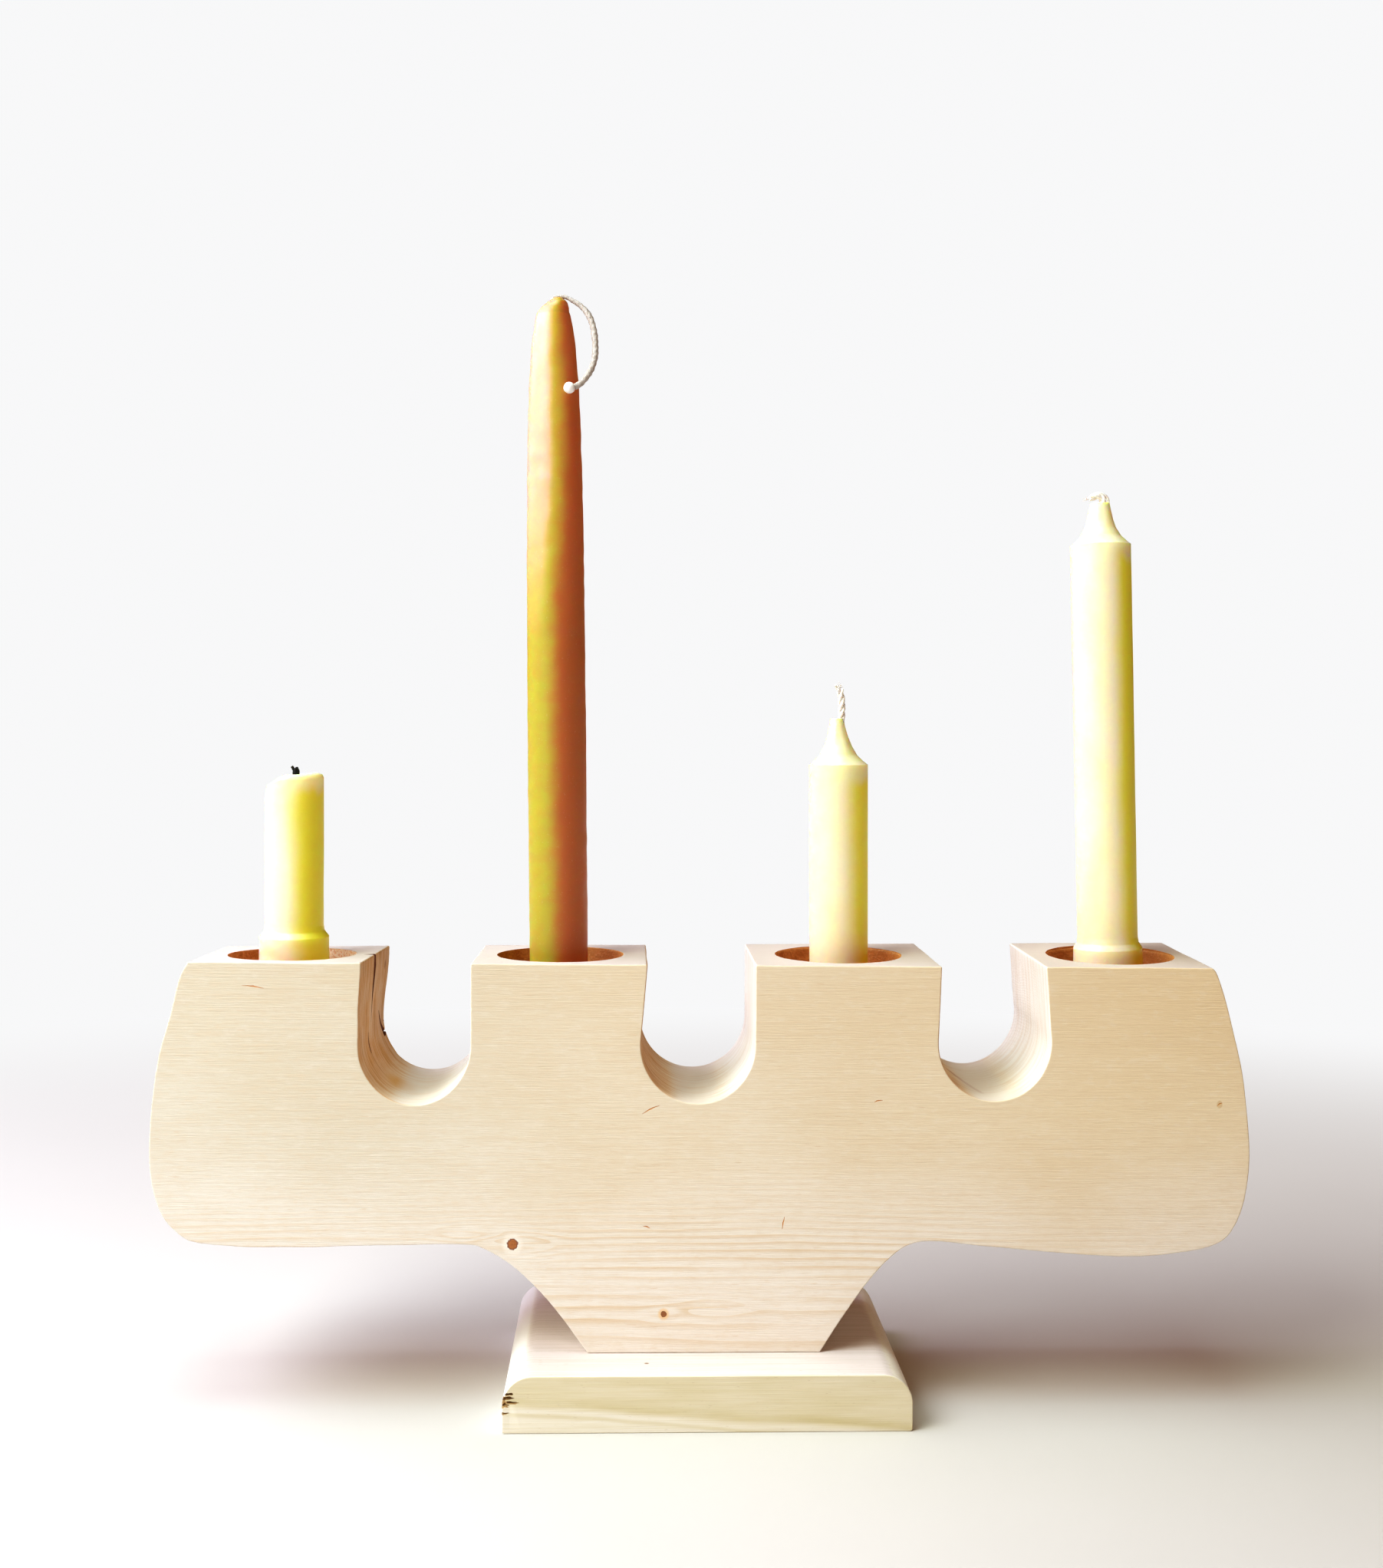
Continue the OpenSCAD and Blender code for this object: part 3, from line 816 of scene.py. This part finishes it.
def hand_sawn(points):
    """Moves points of the block as the saw wandered: its cuts aren't quite square to its front."""
    points = np.array(points, float)
    x, z = points[:, 0] / MM, points[:, 2] / MM
    # 0 on the front and 1 on the back
    depth = np.clip((points[:, 1] - FRONT_Y) / (BACK_Y - FRONT_Y), 0, 1)
    top_rise = 0.2 - 0.003 * x + depth * (0.05 + 0.0102 * x)
    floor_rise = (0.3 + depth * (1.6 + 0.0055 * x)) * smoothstep(150, 120, np.abs(x))
    high_up = smoothstep(118, 148, z)
    sawn = smoothstep(96, 104, z)
    points[:, 2] += sawn * (high_up * top_rise + (1 - high_up) * floor_rise) * MM
    # The first slot's left wall runs out to the right at the top
    near_wall = smoothstep(6, 3, np.abs(x - FIRST_WALL))
    bulge = 0.5 + 1.7 * smoothstep(126, 150, z)
    front_bulge = 0.5 * smoothstep(134, 150, z)
    points[:, 0] += near_wall * sawn * (depth * bulge + (1 - depth) * front_bulge) * MM
    return points


def slab(name, node, corner_radius, rim, step, saw_marks, waviness, material, shaped=np.array):
    """A board of a CAD node's outline, with eased rims and the saw's marks on its edges."""
    outline = eased(front_outline(node), corner_radius, step)
    out = outward(outline)
    low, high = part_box(node)
    front, back = low.y, high.y
    arc = np.radians(np.linspace(0, 90, 4))
    easing = [(rim * (1 - math.cos(a)), rim * (1 - math.sin(a))) for a in arc]
    rows = [(front, rim * 1.4)] + [(front + y, inset) for y, inset in easing]
    count = round((back - front - 2 * rim) / (1.5 * step))
    rows += [(front + rim + (back - front - 2 * rim) * k / count, 0.0) for k in range(1, count)]
    rows += [(back - y, inset) for y, inset in reversed(easing)] + [(back, rim * 1.4)]
    along = np.concatenate([[0], np.cumsum(np.linalg.norm(np.diff(outline, axis=0), axis=1))])
    rings = []
    for y, inset in rows:
        place = np.stack([outline[:, 0], np.full(len(outline), y), outline[:, 1]], axis=1)
        drift = np.stack([along, np.full(len(along), y), along * 0], axis=1)
        marks = 0.5 + 0.5 * ripple(drift, (0.9 * MM, 25 * MM, 1), seed=1)
        waves = 0.5 + 0.5 * ripple(place, (14 * MM, 22 * MM, 14 * MM), seed=2)
        flat = (out[:, 1] < -0.9) & (outline[:, 1] < low.z + 0.2 * MM)
        sunk = np.where(flat, 0.0, saw_marks * marks + waviness * waves)
        wear = 1 + 0.3 * ripple(place, 9 * MM, seed=3)
        shift = inset * wear + sunk
        rings.append(shaped(np.stack(
            [outline[:, 0] - out[:, 0] * shift, np.full(len(outline), y),
             outline[:, 1] - out[:, 1] * shift], axis=1)))
    return skin(name, rings, material)


def bore(name, mouth, way, radius, depth, rim, chatter, material, seed):
    """Cutter for a drilled hole: a torn rim at its mouth, a drilled wall and a turned floor."""
    way = Vector(way).normalized()
    side = way.cross(Vector((0, 1, 0))).normalized()
    turn = np.linspace(0, 2 * math.pi, 144, endpoint=False)
    ray = rays(turn, side, way.cross(side))
    torn = ripple(ray * radius, 1.1 * MM, seed)
    torn = rim * (1 + 0.5 * torn + 2.2 * np.clip(torn - 0.35, 0, 1))
    rows = [(3 * MM, radius + torn), (0.02 * MM, radius + torn), (-0.35 * rim, radius + 0.4 * torn)]
    for drop in np.arange(rim, depth, 0.8 * MM):
        ring = ray * radius - np.array(way) * drop
        rows.append((-drop, radius + chatter * ripple(ring, (2 * MM, 2 * MM, 1.2 * MM), seed + 1)))
    for share in np.linspace(1, 0.02, 26):
        swirl = 0.5 - 0.5 * math.cos(share * radius / (0.9 * MM) * 2 * math.pi)
        rows.append((-depth - chatter * swirl, np.full(len(turn), radius * share)))
    rings = [
        np.array(mouth) + np.array(way) * height + ray * np.asarray(r)[:, None]
        for height, r in rows
    ]
    return skin(name, rings, material)


def groove(name, path, widths, depth, out, material):
    """Cutter for a crack or scratch: a wedge that follows a path on a surface facing out."""
    path = hand_sawn(curve_through(np.array(path) * MM, 0.6 * MM))
    widths = np.interp(np.linspace(0, 1, len(path)), np.linspace(0, 1, len(widths)), widths) * MM
    out = np.array(out, float)
    ways = np.gradient(path, axis=0)
    across = np.cross(ways, out)
    across /= np.linalg.norm(across, axis=1)[:, None]
    jag = ripple(path, 0.9 * MM, seed=5) * 0.12 * MM
    rings = []
    for i, p in enumerate(path):
        p = p + across[i] * jag[i]
        half = across[i] * widths[i] / 2
        lift = out * 0.6 * MM
        bottom = p - out * depth * MM
        rings.append([p + half * 1.6 + lift, p + half, bottom, p - half, p - half * 1.6 + lift])
    return skin(name, rings, material)


def joint_axis(body):
    """Direction in which a candle lifts out of its socket."""
    for joint in frame["joints"]:
        if joint["child"] == body:
            return Vector(joint["axis"]).normalized()
    raise ValueError(body)


def candle_frame(body):
    """Foot centre, axis and outer profile (height, radius) of a candle's CAD wax."""
    way = np.array(joint_axis(body))
    points = np.array([v.co for v in frame["nodes"][CANDLE_WAX[body]].data.vertices])
    height = points @ way
    lowest = np.unique(points[height < height.min() + 0.01 * MM].round(7), axis=0)
    foot = lowest.mean(axis=0)
    rise = (points - foot) @ way
    radius = np.linalg.norm(points - foot - rise[:, None] * way, axis=1)
    profile = {}
    for h, r in zip((rise / MM).round(2), radius / MM):
        profile[h] = max(profile.get(h, 0.0), float(r))
    # The dish inside a candle's rim and the hole for its wick aren't part of its outer profile
    top = max(profile)
    outer = []
    for h, r in sorted(profile.items()):
        widest = max(wide for higher, wide in profile.items() if higher >= h)
        if widest < r + (1 if h > top - 3 else 4):
            outer.append((h, r))
    return foot, way, outer


def recess_middles():
    """Middle of each round recess along X, from the ring of its floor in the CAD block."""
    points = np.array([v.co for v in frame["nodes"]["candle_block"].data.vertices])
    ring = points[np.abs(points[:, 2] - (TOP_Z - RECESS_DEPTH)) < 0.01 * MM]
    middles = []
    for body in CANDLE_WAX:
        foot = candle_frame(body)[0]
        near = ring[np.abs(ring[:, 0] - foot[0]) < RECESS_RADIUS + 4 * MM]
        middles.append((near[:, 0].min() + near[:, 0].max()) / 2)
    return middles


def make_block(wood, bored_with_painted_shade, split_painted_shade):
    """The sawn softwood block with its recesses, sockets, checks, nicks and scratches."""
    block = slab(
        "sawn_block", "candle_block", corner_radius=0.8 * MM, rim=0.38 * MM, step=1.0 * MM,
        saw_marks=0.07 * MM, waviness=0.35 * MM, material=wood, shaped=hand_sawn,
    )
    cutters = []
    for seed, (body, middle) in enumerate(zip(CANDLE_WAX, recess_middles())):
        cutters.append(bore(
            f"recess_{seed}", (middle, MIDDLE_Y, TOP_Z), (0, 0, 1), RECESS_RADIUS, RECESS_DEPTH,
            rim=0.3 * MM, chatter=0.05 * MM, material=bored_with_painted_shade, seed=seed + 0.5,
        ))
        foot, way, _ = candle_frame(body)
        drop = (TOP_Z - RECESS_DEPTH - foot[2]) / way[2]
        cutters.append(bore(
            f"socket_{seed}", foot + way * drop, way, SOCKET_RADIUS, SOCKET_DEPTH,
            rim=0.25 * MM, chatter=0.03 * MM, material=bored_with_painted_shade, seed=seed + 9.5,
        ))
    # Drying checks in the end grain of the first slot's left wall, cut from just clear of it
    wall = FIRST_WALL + 0.1
    for name, route, widths, depth in [
        ("long_check", [(0.6, 155), (1.0, 148), (0.4, 141), (0.9, 134), (0.7, 127)],
         [2.6, 4.0, 2.8, 0.9, 0.2], 4.5),
        ("short_check", [(-4.6, 124.6), (-5.1, 121.5), (-4.9, 116.5)], [0.3, 1.3, 0.3], 2.0),
        ("corner_check", [(17.5, 128.5), (21.5, 124), (25, 120.5), (29.5, 117)],
         [0.4, 1.6, 2.6, 3.0], 2.2),
    ]:
        path = [(wall, y, z) for y, z in route]
        # The checks are lined with very dark wood: raw wood with painted shade inside them
        cutters.append(groove(name, path, widths, depth, (1, 0, 0), split_painted_shade))
    # Scratches and dents on the front
    front = FRONT_Y / MM
    for number, (x, z, long, slope) in enumerate([
        (-18.7, 102.4, 6.6, 0.48), (26.8, 63.7, 4.4, 5.0), (59, 105.2, 3.0, 0.2),
        (-19.9, 62.3, 2.6, -0.3), (*STAIN, 2.2, 0.6), (-153, 143.6, 7.5, -0.12),
    ]):
        turn = math.atan(slope)
        dx, dz = long / 2 * math.cos(turn), long / 2 * math.sin(turn)
        path = [(x - dx, front, z - dz), (x, front, z + 0.25), (x + dx, front, z + dz)]
        cutters.append(
            groove(f"scratch_{number}", path, [0.08, 0.4, 0.08], 0.22, (0, -1, 0), bored_with_painted_shade)
        )
    # Torn grain on the back edge of the first slot's left wall
    back = BACK_Y / MM
    for number, (y, z, size) in enumerate([
        (back, 118.6, (0.7, 1.2, 0.8)), (back + 0.2, 126.5, (0.6, 0.8, 1.2)),
        (back - 1.2, 122.6, (0.6, 1.2, 0.7)),
    ]):
        place = hand_sawn([(wall * MM, y * MM, z * MM)])[0]
        # The torn grain is lined with the same very dark wood, painted shade included
        cutters.append(lump(f"tear_{number}", place, Vector(size) * MM, split_painted_shade, 0.6, number + 1))
    for side in (-1, 1):
        cutters.append(bore(
            f"pilot_{side}", (side * SCREW_X, MIDDLE_Y, block_low.z), (0, 0, -1), PILOT_RADIUS,
            PILOT_DEPTH, rim=0.15 * MM, chatter=0.03 * MM, material=bored_with_painted_shade, seed=side + 20.5,
        ))
    placed(carved(block, cutters), "stand", "candle_block")


def make_base(wood, split_painted_shade):
    """The routed base board with its screw holes and the torn corner of its front."""
    base = slab(
        "routed_base", "base_plate", corner_radius=0.9 * MM, rim=0.35 * MM, step=0.7 * MM,
        saw_marks=0.02 * MM, waviness=0.08 * MM, material=wood,
    )
    ring = rays(np.linspace(0, 2 * math.pi, 64, endpoint=False), (1, 0, 0), (0, 1, 0))
    cutters = []
    for side in (-1, 1):
        place = (side * SCREW_X, MIDDLE_Y, base_low.z)
        cutters.append(bore(
            f"clearance_{side}", place, (0, 0, -1), CLEARANCE_RADIUS, CLEARANCE_DEPTH,
            rim=0.15 * MM, chatter=0.03 * MM, material=wood, seed=side + 30.5,
        ))
        cutters.append(skin(f"countersink_{side}", [
            np.array(place) + np.array([0, 0, z * MM]) + ring * r * MM
            for z, r in [(-1.0, 4.4), (0.4, 4.4), (2.8, 2.3), (3.4, 2.25)]
        ], wood))
    for number, (x, z, size) in enumerate([
        (1.0, 11.9, (2.8, 1.6, 0.65)), (0.4, 9.3, (2.2, 1.8, 0.7)), (3.0, 10.4, (2.6, 0.9, 0.45)),
        (2.4, 13.2, (1.5, 1.0, 0.4)), (0.3, 6.8, (2.0, 1.0, 0.45)), (0.0, 10.6, (1.2, 2.4, 1.3)),
    ]):
        place = (base_low.x + x * MM, base_low.y, z * MM)
        # The torn corner is lined with brown wood: raw wood with painted shade inside the chips
        cutters.append(lump(f"tear_{number}", place, Vector(size) * MM, split_painted_shade, 0.8, number + 7))
    placed(carved(base, cutters), "stand", "base_plate")


# ---------------------------------------------------------------- candles


def turned_rings(body, sides, step, shape):
    """Rings of a candle on its own axis, and its foot, its three axes and its height.

    shape(h, angles, r, top) gives the radii, the rise and the shift to the right of a ring.
    """
    foot, way, profile = candle_frame(body)
    heights, radii = zip(*profile)
    top = heights[-1]
    near_edges = {h + d for h in heights for d in (-0.25, 0.25) if 0 < h + d < top}
    near_top = {top - 0.9, top - 0.6, top - 0.1}
    wanted = set(np.arange(0, top, step)) | set(heights) | near_edges | near_top
    # Rings that all but coincide are merged, because their thin faces would shade wrongly
    fine = [heights[0]]
    for h in sorted(wanted):
        if h > fine[-1] + LEAST_RING_GAP and (h < top - LEAST_RING_GAP or h == top):
            fine.append(h)
    turn = np.linspace(0, 2 * math.pi, sides, endpoint=False)
    side = np.cross([0.0, 1.0, 0.0], way)
    side /= np.linalg.norm(side)
    deep = np.cross(way, side)
    ray = rays(turn, side, deep)
    rings = []
    for h in fine:
        r = float(np.interp(h, heights, radii))
        radius, rise, shift = shape(h, turn, r, top)
        centre = foot + side * shift * MM
        level = np.outer(np.ones(sides) * (h + rise), way) * MM
        rings.append(centre + level + ray * (np.ones(sides) * radius)[:, None] * MM)
    return rings, foot, way, side, deep, top


def closed_top(rings, middle_drop, steps=14):
    """Adds rings that close the top of a candle towards its wick, sinking as they go in."""
    rim = np.array(rings[-1])
    middle = rim.mean(axis=0)
    for k in range(1, steps):
        share = 1 - (k / steps) ** 1.5
        sunk = middle_drop * (1 - share**2)
        ring = middle + (rim - middle) * share
        ring[:, 2] -= sunk
        rings.append(ring)
    return rings


def lumps(h, turn, across, up, seed):
    """Noise round a candle at one height, the same at both ends of the turn."""
    x, y = np.cos(turn) * across, np.sin(turn) * across
    around = np.stack([x, y, np.full(len(turn), h / up)], axis=1)
    return np.array([noise.noise(Vector(p + seed)) for p in around])


def make_candle(name, body, material, shape, sides=112, step=1.2, drop=0.5 * MM):
    """The wax of a candle, as a piece. Gives the candle's foot, its three axes and its height."""
    rings, *own_frame, top = turned_rings(body, sides, step, shape)
    candle = skin(name, closed_top(rings, drop), material)
    placed(candle, body, CANDLE_WAX[body], 50)
    return *own_frame, top


def burnt_shape(h, turn, r, top):
    """Melted rim, lower on the left, and a hand-pressed collar."""
    near_top = float(smoothstep(top - 8, top, h))
    left = smoothstep(0.2, 1.0, -np.cos(turn))
    melt = (0.8 - 3.2 * left + 0.5 * smoothstep(0.2, 1.0, np.cos(turn))) * near_top
    melt = melt + 0.15 * lumps(top, turn, 1.5, 9, 6) * near_top
    soft = 0.10 * lumps(h, turn, 1.2, 16, 1)
    pressed = float(smoothstep(46, 40, h)) * float(smoothstep(30, 34, h))
    collar = 0.22 * lumps(h, turn, 2.2, 3.5, 2) * pressed
    above = min(1.0, max(0.0, (h - top + 1.2) / 1.2))
    rounded = 0.7 * (1 - math.sqrt(1 - above**2))
    return r + soft + collar - 0.8 * left * near_top - rounded, melt, 0.0


def taper_shape(h, turn, r, top):
    """Dipped wax: low rings and runs, and a tip that leans towards its wick."""
    ridge = 0.16 * lumps(h, turn, 1.0, 5.5, 3) + 0.10 * lumps(h, turn, 2.6, 9, 4)
    fade = float(smoothstep(top - 1, top - 22, h)) * float(smoothstep(30, 40, h))
    lean = 1.6 * float(smoothstep(top - 5.5, top - 0.4, h))
    return r + ridge * fade, 0.0, lean


def cast_shape(seed, end, tip_lean):
    """Cast wax whose cone starts at a distance below its top, with a tip drawn to one side."""
    def shape(h, turn, r, top):
        on_cone = float(smoothstep(top - end, top - end + 2, h))
        soft = 0.06 * lumps(h, turn, 1.2, 20, seed)
        drawn = 0.28 * lumps(h, turn, 1.6, 6, seed + 5) * on_cone
        return r + soft + drawn, 0.0, tip_lean * float(smoothstep(top - end, top, h))
    return shape


def on_axis(foot, way, side, deep, points):
    """Points given as (right, back, up) millimetres from a candle's foot, in the row frame."""
    p = np.array(points, float) * MM
    return foot + p[:, :1] * side + p[:, 1:2] * deep + p[:, 2:] * way


def strand_bundle(name, spine, count, spread, radius, turns, material, flare, seed):
    """Twisted strands round a spine of points. Flare pushes their far ends apart."""
    random.seed(seed)
    spine = curve_through(spine, 0.35 * MM)
    across, up = frames_along(spine)
    along = np.linspace(0, 1, len(spine))
    parts = []
    for k in range(count):
        phase = 2 * math.pi * k / count
        angle = phase + 2 * math.pi * turns * along
        swell = spread * (1 + flare * smoothstep(0.72, 1.0, along))
        path = spine + swell[:, None] * rays(angle, across, up)
        length = random.uniform(0.86, 1.0)
        path = path[: max(4, int(len(path) * length))]
        taper = 1 - 0.45 * smoothstep(0.8, 1.0, np.linspace(0, 1, len(path)))
        parts.append(tube(
            f"{name}_{k}", path, radius * taper, sides=10, strands=3, twist=turns * 2,
            depth=0.16, material=material,
        ))
    return parts


def stray_fibres(name, root, way, count, length, material, seed):
    """Thin fibres that stand off the end of a frayed wick."""
    random.seed(seed)
    parts = []
    for k in range(count):
        lean = Vector([random.uniform(-1, 1) for _ in range(3)]) * 0.75
        aim = (Vector(way) + lean).normalized()
        bend = Vector([random.uniform(-1, 1) for _ in range(3)]) * 0.4
        start = Vector(root) + Vector([random.uniform(-0.5, 0.5) for _ in range(3)]) * MM
        size = length * random.uniform(0.5, 1.0)
        path = [start + aim * size * t + bend * size * t * t * 0.5 for t in (0, 0.25, 0.5, 0.75, 1)]
        radius = np.array([0.11, 0.1, 0.085, 0.065, 0.04]) * MM
        parts.append(tube(f"{name}_{k}", path, radius, sides=6, material=material))
    return parts


def make_wick(name, parts, body):
    """The parts of a wick, joined into one piece that stands in a candle's wax."""
    placed(joined(name, parts), body, f"{body}_wick", 60)


def make_candles(burnt, beeswax, short, tall, cotton, charred):
    """The four candles and the three wicks that stand in them."""
    foot, way, side, deep, top = make_candle(
        "melted_candle", "burnt_candle", burnt, burnt_shape
    )
    spine = on_axis(foot, way, side, deep, [
        (0.4, 0, top - 4), (0.5, 0, top - 0.5), (0.4, 0, top + 1.5), (0.25, 0, top + 3.9),
    ])
    parts = strand_bundle("char", spine, 3, 0.5 * MM, 0.92 * MM, 0.3, charred, flare=0.15, seed=3)
    horn = on_axis(foot, way, side, deep, [
        (-0.2, -0.3, top + 2.2), (-0.5, -0.4, top + 3.0), (-0.85, -0.5, top + 3.5),
    ])
    parts.append(tube("horn", horn, 0.5 * MM, sides=8, material=charred))
    make_wick("charred_stub", parts, "burnt_candle")

    make_candle(
        "dipped_taper", "taper", beeswax, taper_shape, step=0.9, drop=0.1 * MM
    )

    foot, way, side, deep, top = make_candle(
        "short_candle", "short_candle", short, cast_shape(7, 16.5, -0.6),
        drop=0.4 * MM,
    )
    spine = on_axis(foot, way, side, deep, [
        (0.7, 0, top - 4), (1.1, 0, top), (1.2, 0, top + 3), (1.1, 0, top + 6.5),
        (0.6, 0, top + 9.5), (0.3, 0, top + 12.3),
    ])
    parts = strand_bundle("braid", spine, 3, 0.62 * MM, 0.74 * MM, 1.7, cotton, flare=1.2, seed=8)
    root = spine[-1] - np.array(way) * 1.6 * MM
    parts += stray_fibres("fray", root, way, 14, 2.2 * MM, cotton, 5)
    make_wick("frayed_wick", parts, "short_candle")

    foot, way, side, deep, top = make_candle(
        "tall_candle", "tall_candle", tall, cast_shape(11, 15, 0.0), drop=0.4 * MM
    )
    spine = on_axis(foot, way, side, deep, [
        (0.9, 0, top - 3), (1.2, 0, top + 0.2), (0.9, -0.1, top + 1.9), (-0.4, -0.2, top + 2.6),
        (-2.3, -0.3, top + 2.3), (-4.4, -0.3, top + 1.5),
    ])
    parts = strand_bundle("fold", spine, 3, 0.6 * MM, 0.8 * MM, 0.8, cotton, flare=0.2, seed=6)
    parts += stray_fibres("wisp", spine[-1], -side, 10, 1.8 * MM, cotton, 9)
    loop = on_axis(foot, way, side, deep, [
        (2.9, -0.3, top - 1), (3.0, -0.4, top + 0.9), (2.2, -0.5, top + 2.4),
        (0.9, -0.4, top + 3.3), (-0.4, -0.3, top + 3.3),
    ])
    parts.append(tube(
        "side_loop", curve_through(loop, 0.3 * MM), 0.45 * MM, sides=10, material=cotton
    ))
    make_wick("folded_wick", parts, "tall_candle")


# ---------------------------------------------------------------- studio


BACKGROUND = (0.955, 0.955, 0.96)
# The weak warm glow that fills the shadows
FILL_COLOUR = (1.0, 0.45, 0.13)
FILL_STRENGTH = 0.27
# Below 1, shades come out darker and richer
CONTRAST = 0.72


def make_floor():
    """Wide pale floor, which isn't part of the object."""
    paint = Paint("pale_floor")
    cloud = paint.grain((180, 180, 180))
    far = paint.between(paint.away_from((0, -60, 0), (0.8, 1.0, 1.0)), 180.0, 900.0)
    near_colour = paint.mix(cloud, (0.66, 0.63, 0.585), (0.70, 0.67, 0.625))
    paint.set(
        Base_Color=paint.mix(far, near_colour, (0.0, 0.0, 0.0)),
        Roughness=0.7,
        Emission_Color=(*BACKGROUND, 1),
        Emission_Strength=far,
        Specular_IOR_Level=0.0,
    )
    bm = bmesh.new()
    bmesh.ops.create_circle(bm, cap_ends=True, radius=6.0, segments=96)
    floor = piece_from("floor", bm, paint.material)
    floor.location.z = cad_low.z


def softbox(name, place, target, size, power, colour):
    """Round area light that looks at a target."""
    data = bpy.data.lights.new(name, "AREA")
    data.shape = "DISK"
    data.size = size
    data.energy = power
    data.color = colour
    light = bpy.data.objects.new(name, data)
    light.location = place
    light.rotation_euler = (Vector(target) - Vector(place)).to_track_quat("-Z", "Y").to_euler()
    bpy.context.scene.collection.objects.link(light)


def make_light():
    """Daylight from a wide window on the left, warmer towards the front, and a weak warm glow."""
    middle = (cad_low + cad_high) / 2
    for name, left, up, reach, power, colour in [
        ("window_front", 50, 35, 1.3, 14.8, (0.90, 1.0, 0.95)),
        ("window_side", 70, 45, 1.3, 10.3, (0.67, 0.75, 1.0)),
        ("window_back", 110, 40, 1.3, 8.5, (0.71, 0.69, 1.0)),
        ("ceiling", 60, 80, 1.4, 10.3, (0.70, 0.95, 0.97)),
    ]:
        left, up = math.radians(left), math.radians(up)
        level = math.cos(up)
        away = Vector((-math.sin(left) * level, -math.cos(left) * level, math.sin(up)))
        softbox(name, middle + away * reach, middle, 0.9, power, colour)
    world = bpy.data.worlds.new("studio")
    world.use_nodes = True
    nodes = world.node_tree.nodes
    links = world.node_tree.links
    glow = nodes["Background"]
    glow.inputs["Color"].default_value = (*FILL_COLOUR, 1)
    glow.inputs["Strength"].default_value = FILL_STRENGTH
    seen = nodes.new("ShaderNodeBackground")
    seen.inputs["Color"].default_value = (*BACKGROUND, 1)
    seen.inputs["Strength"].default_value = 1.0
    light_path = nodes.new("ShaderNodeLightPath")
    both = nodes.new("ShaderNodeMixShader")
    links.new(light_path.outputs["Is Camera Ray"], both.inputs[0])
    links.new(glow.outputs[0], both.inputs[1])
    links.new(seen.outputs[0], both.inputs[2])
    links.new(both.outputs[0], nodes["World Output"].inputs["Surface"])
    scene = bpy.context.scene
    scene.world = world
    scene.view_settings.view_transform = "Standard"
    scene.view_settings.gamma = CONTRAST


def dress(node, material):
    """Gives a CAD node that stays a material of its own."""
    mesh = frame["nodes"][node].data
    mesh.materials.clear()
    mesh.materials.append(material)


# ---------------------------------------------------------------- the scene

make_camera()
cotton = fibres(
    "waxed_cotton", (0.96, 0.93, 0.87), (0.88, 0.82, 0.73), (0.50, 0.41, 0.31), 0.6
)
loop_cotton = fibres(
    "old_cotton", (0.60, 0.55, 0.50), (0.45, 0.395, 0.345), (0.37, 0.31, 0.27), 0.6
)
# The bead's wax is painted a little lighter on its lit side
bead_wax = wax(
    "white_wax", (0.96, 0.95, 0.93), (0.92, 0.90, 0.87), (-0.2, 0.8), (1.0, 0.95, 0.9),
    1.2 * MM, (3, 3, 3),
)
make_wick_loop(loop_cotton, bead_wax)

pine_wood = pine("pine", (0.88, 0.79, 0.675), (0.815, 0.675, 0.50), (0.70, 0.515, 0.33))
bored_wood_painted_shade = bored_pine_painted_shade()
# Very dark and brown wood for cracks and tears: raw wood with painted shade
split_wood_painted_shade = pine(
    "split_pine", (0.26, 0.085, 0.035), (0.18, 0.06, 0.025), (0.11, 0.035, 0.015), False
)
torn_wood_painted_shade = pine("torn_poplar", (0.52, 0.36, 0.17), (0.40, 0.26, 0.11), (0.24, 0.14, 0.05), False)
make_block(pine_wood, bored_wood_painted_shade, split_wood_painted_shade)
make_base(poplar(), torn_wood_painted_shade)

# Colours of the ivory wax on its lit and its shaded side: painted light and painted shade
IVORY_PAINTED_LIT = (0.99, 0.845, 0.665)
IVORY_PAINTED_SHADE = (0.99, 0.875, 0.10)
ivory_glow = (1.0, 0.62, 0.12)
burnt_ivory, short_ivory, tall_ivory = [
    wax(
        name, IVORY_PAINTED_LIT, IVORY_PAINTED_SHADE, turn, ivory_glow, 6 * MM, (14, 14, 30),
        rim=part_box(node)[1].z / MM - below,
    )
    for name, node, below, turn in [
        ("burnt_ivory_wax", "burnt_candle_wax", 0.0, (-0.2, 0.56)),
        ("short_ivory_wax", "short_candle_wax", 16.0, (0.0, 0.72)),
        ("tall_ivory_wax", "tall_candle_wax", 14.5, (0.06, 0.58)),
    ]
]
taper_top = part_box("taper_wax")[1].z / MM
# The taper's wax: painted olive-yellow on its lit side and red-brown on its shaded side
beeswax = wax(
    "beeswax", (0.55, 0.48, 0.075), (0.60, 0.215, 0.072), (-0.42, 0.3), (1.0, 0.2, 0.05),
    3 * MM, (7, 7, 5), bloom_and_highlight=(taper_top - 130, taper_top - 55), wobble=0.2,
)
charred = fibres(
    "charred_cotton", (0.012, 0.011, 0.010), (0.03, 0.026, 0.022), (0.02, 0.02, 0.02), 0.8
)
make_candles(burnt_ivory, beeswax, short_ivory, tall_ivory, cotton, charred)

steel = zinc()
dress("screw_left", steel)
dress("screw_right", steel)
dress("taper_wick_core", cotton)

make_floor()
make_light()
